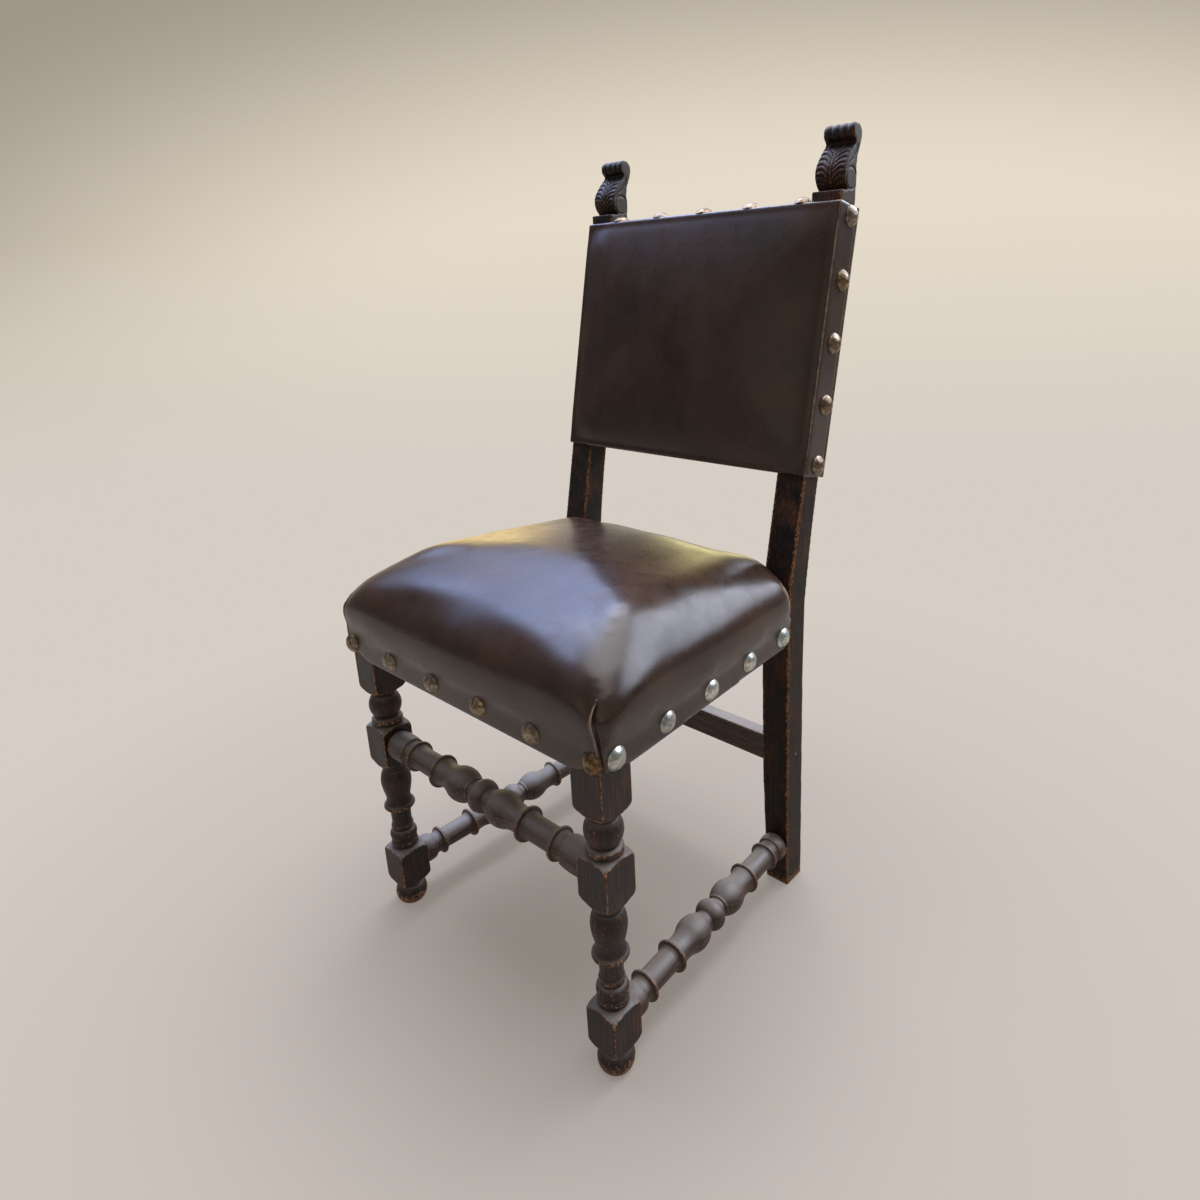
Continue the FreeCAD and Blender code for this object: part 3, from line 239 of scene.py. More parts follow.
def planedBeech(add, place):
    # Beech rails, planed and left bare inside the upholstery: pale brown, short dark flecks, matt.
    beech = {"streak": 5 * mm, "fleck": 1.5 * mm, "stretch": (0.12, 0.3, 1)}
    laid = add("Mapping", {"Vector": place, "Scale": beech["stretch"]})
    streak = add("TexNoise", {"Vector": laid, "Scale": 1 / beech["streak"], "Detail": 6})
    fleck = add("TexNoise", {"Vector": laid, "Scale": 1 / beech["fleck"], "Detail": 3})
    mixed = add("Math", {0: fleck, 1: 0.4, 2: streak}, operation="MULTIPLY_ADD")
    shade = add("ValToRGB", {"Fac": mixed}, [(0.5, "#6f4c30"), (0.7, "#94683f"), (0.9, "#b08658")])
    bump = add("Bump", {"Strength": 0.2, "Distance": 0.3 * mm, "Height": mixed})
    return add("BsdfPrincipled", {"Roughness": 0.7, "Base Color": shade, "Normal": bump})


def cottonWadding(add, place):
    # Carded cotton: off-white, fluffy, without any shine.
    tuft = 7 * mm
    fluff = add("TexNoise", {"Vector": place, "Scale": 1 / tuft, "Detail": 8, "Roughness": 0.7})
    shade = add("ValToRGB", {"Fac": fluff}, [(0.3, "#9a8b72"), (0.7, "#cfc4ac")])
    bump = add("Bump", {"Strength": 0.6, "Distance": 1.5 * mm, "Height": fluff})
    return add("BsdfPrincipled", {"Roughness": 1, "Sheen Weight": 0.3, "Base Color": shade, "Normal": bump})


stains = {   # tones from the darkest streak to the palest, wear of the edges, dust and a painted pale sheen on top, shine of the wax
    "deep": {
        "tones": ("#0a0705", "#17100c", "#281b14", "#3b281d"),
        "wear": 0.6, "settle": 0.1, "shine": 0.2},
    "middling": {
        "tones": ("#0d0906", "#1d140f", "#33221a", "#4d3528"),
        "wear": 0.9, "settle": 0.6, "shine": 0.38},
    "thin": {
        "tones": ("#1a120d", "#35261d", "#513c30", "#6b5244"),
        "wear": 0.6, "settle": 0.75, "shine": 0.5},
}
postOak = makeMaterial("stained_oak_posts", stainedOak, along=2, **stains["deep"])
legOak = makeMaterial("stained_oak_legs", stainedOak, along=2, **stains["middling"])
crossOak = makeMaterial("stained_oak_crosswise", stainedOak, along=0, **stains["thin"])
foreOak = makeMaterial("stained_oak_lengthwise", stainedOak, along=1, **stains["thin"])
leather = makeMaterial("polished_cowhide", brownLeather)
brass = makeMaterial("hammered_aged_brass", agedBrass)
juteStrap = makeMaterial("jute_webbing", plainWeave, thread=1.8 * mm, pale="#a98f66", deep="#5b4629")
burlapCloth = makeMaterial("loose_burlap", plainWeave, thread=2.4 * mm, pale="#b39f78", deep="#4d3d26")
beechWood = makeMaterial("planed_beech", planedBeech)
wadding = makeMaterial("cotton_wadding", cottonWadding)
print("materials made")

mergeWithin = 0.002 * mm


def nodeCopy(node, turn=None):  # the CAD triangles come loose, so they are merged
    bm = bmesh.new()
    bm.from_mesh(nodes[node].data)
    bmesh.ops.remove_doubles(bm, verts=bm.verts, dist=mergeWithin)
    if turn:
        bmesh.ops.transform(bm, matrix=turn, verts=bm.verts)
    return bm


def asObject(bm, name, turn=None):
    if turn:
        bmesh.ops.transform(bm, matrix=turn, verts=bm.verts)
    mesh = bpy.data.meshes.new(name)
    bm.to_mesh(mesh)
    bm.free()
    obj = bpy.data.objects.new(name, mesh)
    scene.collection.objects.link(obj)
    return obj


def takeModifiers(obj):  # puts the modifiers' result in the mesh
    bpy.context.view_layer.update()
    depsgraph = bpy.context.evaluated_depsgraph_get()
    finished = bpy.data.meshes.new_from_object(obj.evaluated_get(depsgraph))
    obj.modifiers.clear()
    obj.data = finished


def voxelled(bm, name, voxel):
    obj = asObject(bm, name)
    remesh = obj.modifiers.new("voxels", "REMESH")
    remesh.mode = "VOXEL"
    remesh.voxel_size = voxel
    takeModifiers(obj)
    return obj


def refined(mesh, wanted):  # cuts in two the edges that are wanted
    bm = bmesh.new()
    bm.from_mesh(mesh)
    edges = [edge for edge in bm.edges if wanted(edge)]
    bmesh.ops.subdivide_edges(bm, edges=edges, cuts=1, use_grid_fill=True)
    bm.to_mesh(mesh)
    bm.free()


def pushed(bm, faces, axis, level):  # moves faces along an axis to a level, with walls grown behind them
    grown = bmesh.ops.extrude_face_region(bm, geom=faces)
    bmesh.ops.delete(bm, geom=faces, context="FACES")
    for item in grown["geom"]:
        if isinstance(item, bmesh.types.BMVert):
            item.co[axis] = level


def thickened(bm, thick):
    bmesh.ops.solidify(bm, geom=bm.faces, thickness=thick)
    bmesh.ops.recalc_face_normals(bm, faces=bm.faces)


def placesOf(mesh):
    flat = np.empty(len(mesh.vertices) * 3)
    mesh.vertices.foreach_get("co", flat)
    return flat.reshape(-1, 3)


def normalsOf(mesh):
    flat = np.empty(len(mesh.vertices) * 3, np.float32)
    mesh.vertex_normals.foreach_get("vector", flat)
    return flat.reshape(-1, 3).astype(float)


def setPlaces(mesh, places):
    mesh.vertices.foreach_set("co", places.ravel())
    mesh.update()


def moved(mesh, places, distance):  # each point moved out along its normal
    return places + normalsOf(mesh) * distance[:, None]


def softened(mesh, places, rounds, share=0.5):  # each point drawn towards the mean of its neighbours
    ends = np.empty(len(mesh.edges) * 2, np.int32)
    mesh.edges.foreach_get("vertices", ends)
    near, far = ends.reshape(-1, 2).T
    count = len(places)
    degree = np.maximum(np.bincount(near, minlength=count) + np.bincount(far, minlength=count), 1)
    soft = places.copy()
    for turn in range(rounds):
        for axis in range(3):
            total = np.bincount(near, soft[far, axis], count) + np.bincount(far, soft[near, axis], count)
            soft[:, axis] += share * (total / degree - soft[:, axis])
    return soft


def keepValues(mesh, name, values):
    mesh.attributes.new(name, "FLOAT", "POINT").data.foreach_set("value", values)


def keepRelief(mesh, rounds, height, extra=0):  # how far each point stands out of its surroundings
    places = placesOf(mesh)
    stand = ((places - softened(mesh, places, rounds, 1)) * normalsOf(mesh)).sum(axis=1) / height
    keepValues(mesh, "relief", np.clip(stand + extra, -1, 1))


def smoothstep(low, high, value):
    share = np.clip((value - low) / (high - low), 0, 1)
    return share * share * (3 - 2 * share)


def dress(obj, material, slot, *replaced):
    obj.data.materials.clear()
    obj.data.materials.append(material)
    obj.data.shade_smooth()
    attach(obj, "root")
    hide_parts(*replaced)
    return obj


def pieceName(node):
    first, *rest = node.split("_")
    return first + "".join(word.title() for word in rest)


woodWork = {
    "pieces": {   # node: (finish, voxel)
        "front_leg_left": (legOak, 1.0 * mm), "front_leg_right": (legOak, 1.0 * mm),
        "rear_post_left": (postOak, 1.6 * mm), "rear_post_right": (postOak, 1.6 * mm),
        "front_stretcher": (crossOak, 0.88 * mm), "rear_stretcher": (crossOak, 1.6 * mm),
        "side_stretcher_left": (foreOak, 0.88 * mm), "side_stretcher_right": (foreOak, 0.88 * mm)},
    "rounding": 1,   # softening rounds that take the saw-sharp corners off
    "wearRounds": 8,
    "wearHeight": 0.7,   # in voxels
    "footWear": 0.8,   # the feet are kicked bare near the floor
    "footTall": 26 * mm,
}

finial = {
    "tall": 81 * mm,
    "deep": 50 * mm,
    "smoothing": 2,
    "cutFrom": (-1 * mm, -0.5 * mm),   # the mesh is finer above the first height, carved above the second
    "footFade": 3 * mm,
    "sideways": (0.6, 0.85),   # shares of a normal: which points count as the sides
    "leafward": (0.15, 0.45),   # which count as the leaf's front
    "neckward": (0.1, 0.5),
    "rollCentre": (0.69, 0.845),   # shares of deep and tall
    "rollReach": 15 * mm,
    "lobes": 4,
    "lobeDepth": 1.7 * mm,
    "lobeSharp": 1.6,
    "frondPitch": 6.8 * mm,
    "frondArch": 13 * mm,   # the fronds spring up from the stem and droop at the rim
    "frondPeak": 15 * mm,
    "frondDepth": 1.8 * mm,
    "frondSharp": 1.5,
    "frondFrom": (5 * mm, 8 * mm),
    "frondTo": (53 * mm, 57 * mm),
    "stem": 2.2 * mm,
    "stemGroove": 0.9 * mm,
    "stemDepth": 0.8,   # share of the fronds' depth
    "stemClear": 2 * mm,
    "rim": 2.2 * mm,
    "neckUp": 0.70,
    "neckReach": 4.5 * mm,
    "neckDepth": 2.2 * mm,
    "boss": (0.46, 0.19),
    "bossRadius": 13 * mm,
    "grooveWidth": 1.3 * mm,
    "grooveDepth": 1.1 * mm,
    "grooveCourse": [(0.21, 0.31), (0.35, 0.40), (0.55, 0.48), (0.69, 0.58), (0.73, 0.68)],
    "dusty": (-13 * mm, -12 * mm),   # dust and a painted pale sheen lie on the sides from the plinth up
}


def carveFinial(mesh, node):
    low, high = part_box(node)
    foot = high.z - finial["tall"]
    fineFrom, carveFrom = (foot + height for height in finial["cutFrom"])
    refined(mesh, lambda edge: any(face.calc_center_median().z > fineFrom for face in edge.link_faces))
    places = placesOf(mesh)
    carved = places[:, 2] > carveFrom
    places[carved] = softened(mesh, places, finial["smoothing"])[carved]
    setPlaces(mesh, places)
    normals = normalsOf(mesh)
    wide = high.x - low.x
    across = places[:, 0] - (low.x + high.x) / 2
    aside = np.abs(across)
    back = places[:, 1] - places[carved, 1].min()
    up = places[:, 2] - foot
    sized = np.array((finial["deep"], finial["tall"]))
    rollY, rollZ = finial["rollCentre"] * sized
    bossY, bossZ = finial["boss"] * sized
    onSide = smoothstep(*finial["sideways"], np.abs(normals[:, 0]))
    # lobes round the roll
    rolled = np.hypot(back - rollY, up - rollZ) < finial["rollReach"]
    lobe = np.abs(np.sin(math.pi * finial["lobes"] * (across / wide + 0.5)))
    depth = np.where(rolled, finial["lobeDepth"] * (1 - lobe) ** finial["lobeSharp"] * (1 - onSide), 0)
    # fronds on both sides of the stem
    arch = finial["frondArch"] * (1 - ((aside - finial["frondPeak"]) / finial["frondPeak"]) ** 2)
    frond = np.abs(np.sin(math.pi * (up - arch) / finial["frondPitch"]))
    leaf = smoothstep(*finial["frondFrom"], up) * (1 - smoothstep(*finial["frondTo"], up))
    leaf *= smoothstep(*finial["leafward"], -normals[:, 1]) * (1 - onSide)
    leaf *= 1 - smoothstep(wide / 2 - finial["rim"], wide / 2 - finial["rim"] / 2, aside)
    stem = finial["stemDepth"] * np.exp(-((aside - finial["stem"]) / finial["stemGroove"]) ** 2)
    clearOfStem = smoothstep(finial["stem"], finial["stem"] + finial["stemClear"], aside)
    depth += leaf * finial["frondDepth"] * np.maximum((1 - frond) ** finial["frondSharp"] * clearOfStem, stem)
    # the neck under the roll
    neck = np.exp(-((up - finial["neckUp"] * finial["tall"]) / finial["neckReach"]) ** 2)
    depth += finial["neckDepth"] * neck * smoothstep(*finial["neckward"], -normals[:, 1]) * (1 - onSide)
    # grooves on the sides, one round the boss
    reach = np.abs(np.hypot(back - bossY, up - bossZ) - finial["bossRadius"])
    course = finial["grooveCourse"] * sized
    for (y0, z0), (y1, z1) in zip(course, course[1:]):
        span = (y1 - y0) ** 2 + (z1 - z0) ** 2
        share = np.clip(((back - y0) * (y1 - y0) + (up - z0) * (z1 - z0)) / span, 0, 1)
        reach = np.minimum(reach, np.hypot(back - y0 - share * (y1 - y0), up - z0 - share * (z1 - z0)))
    depth += onSide * finial["grooveDepth"] * np.exp(-(reach / finial["grooveWidth"]) ** 2)
    depth *= smoothstep(0, finial["footFade"], up) * carved
    setPlaces(mesh, moved(mesh, places, -depth))
    # the finials' sides carry dust and a painted pale sheen
    keepValues(mesh, "dust", onSide * smoothstep(*finial["dusty"], up))


for node, (finish, voxel) in woodWork["pieces"].items():
    obj = voxelled(nodeCopy(node), pieceName(node), voxel)
    mesh = obj.data
    setPlaces(mesh, softened(mesh, placesOf(mesh), woodWork["rounding"]))
    if finish == postOak:
        carveFinial(mesh, node)
    kicked = woodWork["footWear"] * (1 - smoothstep(0, woodWork["footTall"], placesOf(mesh)[:, 2]))
    keepRelief(mesh, woodWork["wearRounds"], woodWork["wearHeight"] * voxel, kicked)
    dress(obj, finish, "stained_wood", node)
print("wood turned and carved")

for node in ("seat_rail_front", "seat_rail_left", "seat_rail_right", "seat_rail_rear", "seat_corner_blocks",
             "back_rail_upper", "back_rail_lower", "stretcher_pegs"):
    nodes[node].data.materials.clear()
    nodes[node].data.materials.append(crossOak if node == "stretcher_pegs" else beechWood)
print("rails and pegs finished")

swelling = {
    "frames": 20,
    "cloth": {
        "quality": 5, "mass": 0.3, "tension_stiffness": 12, "compression_stiffness": 12,
        "shear_stiffness": 12, "bending_stiffness": 2, "use_pressure": True, "uniform_pressure_force": 4.0,
        "vertex_group_mass": "nailed"},
}


def swell(obj, nailed, cap, evenRounds):  # cloth under pressure, held where the leather is nailed down
    start = placesOf(obj.data)
    group = obj.vertex_groups.new(name="nailed")
    group.add([int(index) for index in np.flatnonzero(nailed)], 1, "REPLACE")
    cloth = obj.modifiers.new("swell", "CLOTH")
    for name, setting in swelling["cloth"].items():
        setattr(cloth.settings, name, setting)
    cloth.settings.effector_weights.gravity = 0
    cloth.collision_settings.use_collision = False
    cloth.point_cache.frame_start = 1
    cloth.point_cache.frame_end = swelling["frames"]
    for step in range(1, swelling["frames"] + 1):
        scene.frame_set(step)
    takeModifiers(obj)
    scene.frame_set(1)
    obj.vertex_groups.clear()
    move = placesOf(obj.data) - start
    length = np.maximum(np.linalg.norm(move, axis=1), 1e-9)
    move *= np.minimum(1, cap / length)[:, None]
    setPlaces(obj.data, start + softened(obj.data, move, evenRounds))
    rounder = obj.modifiers.new("rounder", "SUBSURF")
    rounder.levels = 1
    rounder.render_levels = 1
    takeModifiers(obj)


facingShare = 0.8   # of a normal, for a face that looks one way


def hollowed(obj, axis, way, rings, start, level):  # opens the face that looks one way, leaving a leather rim
    bm = bmesh.new()
    bm.from_mesh(obj.data)
    inside = {face for face in bm.faces if way * face.normal[axis] > facingShare
              and way * face.calc_center_median()[axis] > start}
    for ring in range(rings):
        border = {vert for vert in bm.verts if any(face not in inside for face in vert.link_faces)}
        inside = {face for face in inside if not any(vert in border for vert in face.verts)}
    pushed(bm, list(inside), axis, level)
    bm.to_mesh(obj.data)
    bm.free()


seat = {
    "voxel": 6 * mm,
    "drawIn": 0.5 * mm,   # the shape starts this much smaller, and swells
    "cap": 5 * mm,
    "hold": 438 * mm,   # nailed below this height
    "band": 440 * mm,   # drawn tight to the rails below this height
    "widest": 455 * mm,
    "hem": 404 * mm,
    "under": 452 * mm,   # where the stuffing rests on the burlap
    "underFrom": 418 * mm,   # the underside opens below this height
    "hemRise": 9 * mm,   # the leather is cut higher round the front legs
    "hemRun": 48 * mm,
    "hemFlat": 0.25,   # share of that run
    "softRounds": 22,
    "evenRounds": 30,   # the swelling is evened out, so the leather lies without ripples
    "bulge": 4 * mm,
    "rimRings": 3,
    "belly": 16 * mm,   # the sides stand out over the rails
    "bellyHeights": (430 * mm, 490 * mm, 535 * mm),
    "bellyFront": 0.65,   # less on the front
    "shoulder": 7 * mm,   # stuffing packed in along the edges
    "shoulderRise": (455 * mm, 500 * mm),
    "shoulderRun": (-12 * mm, 14 * mm, 22 * mm, 120 * mm),
    "ridgeRounds": 60,   # the corners' ridges flatten out above the pleats
    "ridgeFade": (468 * mm, 512 * mm),
    "flare": 0.0517,   # how fast the sides draw in towards the back
    "cornerRise": 56 * mm,   # the front corners are packed squarer than the middle
    "cornerRun": 28 * mm,
    "cornerReach": (40 * mm, 130 * mm),
    "cornerRound": 9 * mm,
    "pleatReach": (60 * mm, 60 * mm),   # from the side, from the front
    "pleatFade": (483 * mm, 505 * mm),
    "pleatLean": 7 * mm,
    "lip": (1.2 * mm, -1.4 * mm, 1.2 * mm),   # height, place across the pleat, width
    "gap": (3.2 * mm, 1.5 * mm, 1.5 * mm),
    "tan": (0.45, -0.5 * mm, 0.5 * mm),   # rubbed pale along the pleat
    "tanLeast": 0.2,
    "fine": 26 * mm,   # mesh is finer this near to the pleats
    "fineReach": (40 * mm, 30 * mm),
    "relief": (7, 0.9 * mm),   # rounds, height
    "plain": -1.5,   # painted shade: the hem is darkened, and not rubbed pale
    "hemShadeHeights": (406 * mm, 420 * mm),
}


seatLow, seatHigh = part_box("seat_cover")


def seatForm():  # the stuffing, let down to the hem, with the cover over it
    bm = nodeCopy("seat_stuffing")
    floor = min(vert.co.z for vert in bm.verts)
    under = [face for face in bm.faces if -face.normal.z > facingShare
             and face.calc_center_median().z < floor + 1 * mm]
    pushed(bm, under, 2, seat["hem"])
    bm.from_mesh(nodes["seat_cover"].data)
    bmesh.ops.remove_doubles(bm, verts=bm.verts, dist=mergeWithin)
    return voxelled(bm, "seatPad", seat["voxel"])


def cornerFrame(places):  # distance along the leather from a front corner's pleat, towards the seat's side
    radius = seat["cornerRound"]
    eighth = radius * math.pi / 4
    fromSide = np.abs(places[:, 0]) - (seatHigh.x - seat["bulge"] - radius)
    fromFront = seatLow.y + seat["bulge"] + radius - places[:, 1]
    turn = np.arctan2(np.maximum(fromSide, 0), np.maximum(fromFront, 1e-6))
    along = np.where(fromSide < 0, fromSide, radius * turn) - eighth
    return np.where(fromFront < 0, eighth - fromFront, along)


def atPleats(places, sideReach, frontReach):
    return (np.abs(places[:, 0]) > seatHigh.x - sideReach) & (places[:, 1] < seatLow.y + frontReach)


def pleated(places, form):  # a fold that leans and dies out upwards
    height, offset, width = form
    lean = seat["pleatLean"] * smoothstep(seat["hem"], seat["pleatFade"][1], places[:, 2])
    aside = cornerFrame(places) + lean
    fade = (1 - smoothstep(*seat["pleatFade"], places[:, 2])) * atPleats(places, *seat["pleatReach"])
    return height * np.exp(-((aside - offset) / width) ** 2) * fade


def fromEdges(places):  # how far inside the seat's front, and inside its nearer side
    fromFront = places[:, 1] - seatLow.y
    return fromFront, seatHigh.x - seat["flare"] * fromFront - np.abs(places[:, 0])


def cornerShare(places):  # 1 in the front corners, fading out away from them and down to the rails
    nearFront, nearSide = (1 - smoothstep(*seat["cornerReach"], inset) for inset in fromEdges(places))
    return nearFront * nearSide * smoothstep(seat["band"], seat["widest"], places[:, 2])


def squareCorners(places):
    rim = np.clip(np.minimum(*fromEdges(places)) / seat["cornerRun"], 0, 1)
    full = seat["widest"] + seat["cornerRise"] * np.sqrt(1 - (1 - rim) ** 2)
    places[:, 2] += cornerShare(places) * np.maximum(0, full - places[:, 2])
    return places


def packedEdges(places):
    inset = np.minimum(*fromEdges(places))
    start, whole, still, stop = seat["shoulderRun"]
    ring = smoothstep(start, whole, inset) * (1 - smoothstep(still, stop, inset))
    places[:, 2] += seat["shoulder"] * ring * smoothstep(*seat["shoulderRise"], places[:, 2])
    return places


def bellied(mesh, places):
    low, widest, top = seat["bellyHeights"]
    height = places[:, 2]
    share = smoothstep(low, widest, height) * (1 - smoothstep(widest, top, height))
    outward = normalsOf(mesh)
    outward[:, 2] = 0
    outward[:, 1] = seat["bellyFront"] * np.minimum(outward[:, 1], 0)  # none at the back
    return places + outward * (seat["belly"] * share)[:, None]


def partSoftened(mesh, places, rounds, share):
    return places * (1 - share[:, None]) + softened(mesh, places, rounds) * share[:, None]


def makeSeat():
    obj = seatForm()
    mesh = obj.data
    places = squareCorners(placesOf(mesh))
    overRails = smoothstep(seat["band"], seat["widest"], places[:, 2])
    places = packedEdges(partSoftened(mesh, places, seat["softRounds"], overRails))
    onRidge = cornerShare(places) * smoothstep(*seat["ridgeFade"], places[:, 2])
    places = partSoftened(mesh, places, seat["ridgeRounds"], onRidge)
    setPlaces(mesh, places)
    places = bellied(mesh, places)
    setPlaces(mesh, places)
    loose = smoothstep(seat["hold"], seat["widest"], places[:, 2])
    setPlaces(mesh, moved(mesh, places, -seat["drawIn"] * loose))
    swell(obj, places[:, 2] < seat["hold"], seat["cap"], seat["evenRounds"])
    for finer in (1, 2):
        places = placesOf(obj.data)
        near = (np.abs(cornerFrame(places)) < seat["fine"] / finer) & atPleats(places, *seat["fineReach"])
        refined(obj.data, lambda edge: all(near[vert.index] for vert in edge.verts))
    places = placesOf(obj.data)
    away = np.abs(cornerFrame(places)) / seat["hemRun"]
    rise = seat["hemRise"] * (1 - smoothstep(seat["hemFlat"], 1, away))
    rise *= atPleats(places, *seat["pleatReach"]) * (1 - smoothstep(seat["hem"], seat["band"], places[:, 2]))
    places = moved(obj.data, places, pleated(places, seat["lip"]) - pleated(places, seat["gap"]))
    places[:, 2] += rise
    setPlaces(obj.data, places)
    hollowed(obj, 2, -1, seat["rimRings"], -seat["underFrom"], seat["under"])
    obj.data.validate()
    places = placesOf(obj.data)
    tan = pleated(places, seat["tan"])
    # painted shade along the hem, through the leather's dark hollow colour
    plain = seat["plain"] * (1 - smoothstep(*seat["hemShadeHeights"], places[:, 2]))
    rubbed = tan + np.where(tan > seat["tanLeast"], 0, plain)
    keepRelief(obj.data, *seat["relief"], rubbed)
    dress(obj, leather, "leather", "seat_cover", "seat_stuffing")
    return obj


seatPad = makeSeat()
print("seat upholstered:", len(seatPad.data.polygons), "faces")

back = {
    "knee": Vector((0, 122 * mm, 485 * mm)),   # the posts lean from here
    "rake": math.radians(11.75),
    "low": 150 * mm,
    "high": 497 * mm,
    "voxel": 5 * mm,
    "drawIn": 1.4 * mm,
    "cap": 3.2 * mm,
    "faceFrom": -6 * mm,   # nailed behind this depth
    "softRounds": 1,
    "evenRounds": 8,
    "dimples": 1.6 * mm,
    "dimpleReach": 20 * mm,
    "dimplesIn": 22 * mm,   # from the sides
    "dimplesUp": (164 * mm, 481 * mm),
    "rimRings": 2,
    "rimDeep": 4 * mm,
    "floor": 0.3 * mm,
    "relief": (5, 0.9 * mm),
}
leaning = Matrix.Translation(back["knee"]) @ Matrix.Rotation(-back["rake"], 4, "X")
upright = leaning.inverted()


def makeBack():  # made upright, then leaned back
    bm = nodeCopy("back_cover_front", upright)
    hull = bmesh.ops.convex_hull(bm, input=bm.verts)
    spare = hull["geom_interior"] + hull["geom_unused"]
    loose = {item for item in spare if isinstance(item, bmesh.types.BMVert)}
    bmesh.ops.delete(bm, geom=list(loose), context="VERTS")
    skin = set(hull["geom"])
    holes = [face for face in bm.faces if face not in skin]
    bmesh.ops.delete(bm, geom=holes, context="FACES_ONLY")
    bmesh.ops.recalc_face_normals(bm, faces=bm.faces)
    obj = voxelled(bm, "backPad", back["voxel"])
    places = softened(obj.data, placesOf(obj.data), back["softRounds"])
    setPlaces(obj.data, places)
    free = places[:, 1] < back["faceFrom"]
    setPlaces(obj.data, moved(obj.data, places, -back["drawIn"] * free))
    swell(obj, ~free, back["cap"], back["evenRounds"])
    places = placesOf(obj.data)
    sink = np.zeros(len(places))
    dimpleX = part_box("back_cover_front")[1].x - back["dimplesIn"]
    for side in (-1, 1):
        for up in back["dimplesUp"]:
            reach = np.hypot(places[:, 0] - side * dimpleX, places[:, 2] - up)
            sink += back["dimples"] * np.exp(-(reach / back["dimpleReach"]) ** 2)
    places = moved(obj.data, places, -sink * (places[:, 1] < 0))
    setPlaces(obj.data, places)
    deepest = float(places[:, 1].max())
    hollowed(obj, 1, 1, back["rimRings"], deepest - back["rimDeep"], back["floor"])
    keepRelief(obj.data, *back["relief"])
    obj.data.transform(leaning)
    dress(obj, leather, "leather", "back_cover_front", "back_stuffing")
    return obj


backPad = makeBack()
print("back upholstered:", len(backPad.data.polygons), "faces")

rearCover = {"thick": 2.5 * mm, "cells": 5 * mm, "slack": 0.9 * mm, "slackFrom": 40 * mm, "wave": 70 * mm,
             "edge": 1.0 * mm, "sharp": 1.0, "relief": (4, 0.8 * mm)}


def makeRearCover():  # the leather behind the back, nailed round its edges, a little slack between
    low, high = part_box("back_cover_rear")
    wide = high.x - low.x
    tall = back["high"] - back["low"]
    columns, rows = (int(length / rearCover["cells"]) for length in (wide, tall))
    bm = bmesh.new()
    bmesh.ops.create_grid(bm, x_segments=columns, y_segments=rows, size=0.5)
    depth = min((upright @ vert.co).y for vert in nodes["back_cover_rear"].data.vertices)
    for vert in bm.verts:
        x, z = vert.co.x * wide, (vert.co.y + 0.5) * tall + back["low"]
        inner = min(wide / 2 - abs(x), z - back["low"], back["high"] - z)
        slack = rearCover["slack"] * min(1, inner / rearCover["slackFrom"])
        wave = noise.noise(Vector((x, 0, z)) / rearCover["wave"])
        vert.co = leaning @ Vector((x, depth + slack * wave, z))
    bmesh.ops.recalc_face_normals(bm, faces=bm.faces)
    if sum(face.normal.y for face in bm.faces) < 0:
        bmesh.ops.reverse_faces(bm, faces=bm.faces)
    thickened(bm, -rearCover["thick"])
    rim = [edge for edge in bm.edges if edge.calc_face_angle(0) > rearCover["sharp"]]
    bmesh.ops.bevel(bm, geom=rim, offset=rearCover["edge"], affect="EDGES", segments=2, profile=0.5,
                    material=-1)
    obj = asObject(bm, "backCoverRear")
    keepRelief(obj.data, *rearCover["relief"])
    dress(obj, leather, "leather", "back_cover_rear")


makeRearCover()
print("rear cover made")

stud = {
    "radius": 14 * mm, "dome": 8.5 * mm, "shank": 1.6 * mm, "steps": 40, "rings": 12,
    "lip": ((0.3 * mm, -0.5 * mm), (1.0 * mm, 0.2 * mm)),   # in from the rim, up from the leather
    "hollow": 0.4 * mm, "weld": 0.01 * mm,
    "facet": 4.2 * mm, "dent": 0.26 * mm, "dentReach": 0.62, "dentFrom": 0.3 * mm, "dentFull": 2 * mm,
    "apart": 50,   # facets, so that no two studs are beaten alike
    "relief": (4, 0.35 * mm),
    "rows": {   # node: (way out, share of worn silver, how much that varies, tarnish)
        "seat_studs_front": ((0, -1, 0), 0.12, 0.12, 0), "seat_studs_right": ((1, 0, 0), 0.85, 0.15, 0),
        "seat_studs_left": ((-1, 0, 0), 0.5, 0.15, 0), "back_studs_right": ((1, 0, 0), 0.12, 0.06, 0.2),
        "back_studs_left": ((-1, 0, 0), 0.12, 0.06, 0.2), "back_studs_top": ((0, 0, 1), 0.1, 0.06, 0.9)},
}


def islandsOf(bm):
    left = set(bm.verts)
    while left:
        start = left.pop()
        island, queue = [start], [start]
        while queue:
            for edge in queue.pop().link_edges:
                for vert in edge.verts:
                    if vert in left:
                        left.remove(vert)
                        island.append(vert)
                        queue.append(vert)
        yield island


def studPlaces(node, outward):  # each stud's axis runs from its shank's tip to the top of its dome
    bm = nodeCopy(node)
    found = []
    for island in islandsOf(bm):
        island.sort(key=lambda vert: vert.co[:])  # so a tie falls the same way each time
        top = max(island, key=lambda vert: vert.co.dot(outward)).co
        tip = min(island, key=lambda vert: vert.co.dot(outward)).co
        axis = (top - tip).normalized()
        found.append((top - axis * stud["dome"], axis, (top - tip).length))
    bm.free()
    return sorted(found, key=lambda item: item[0][:])


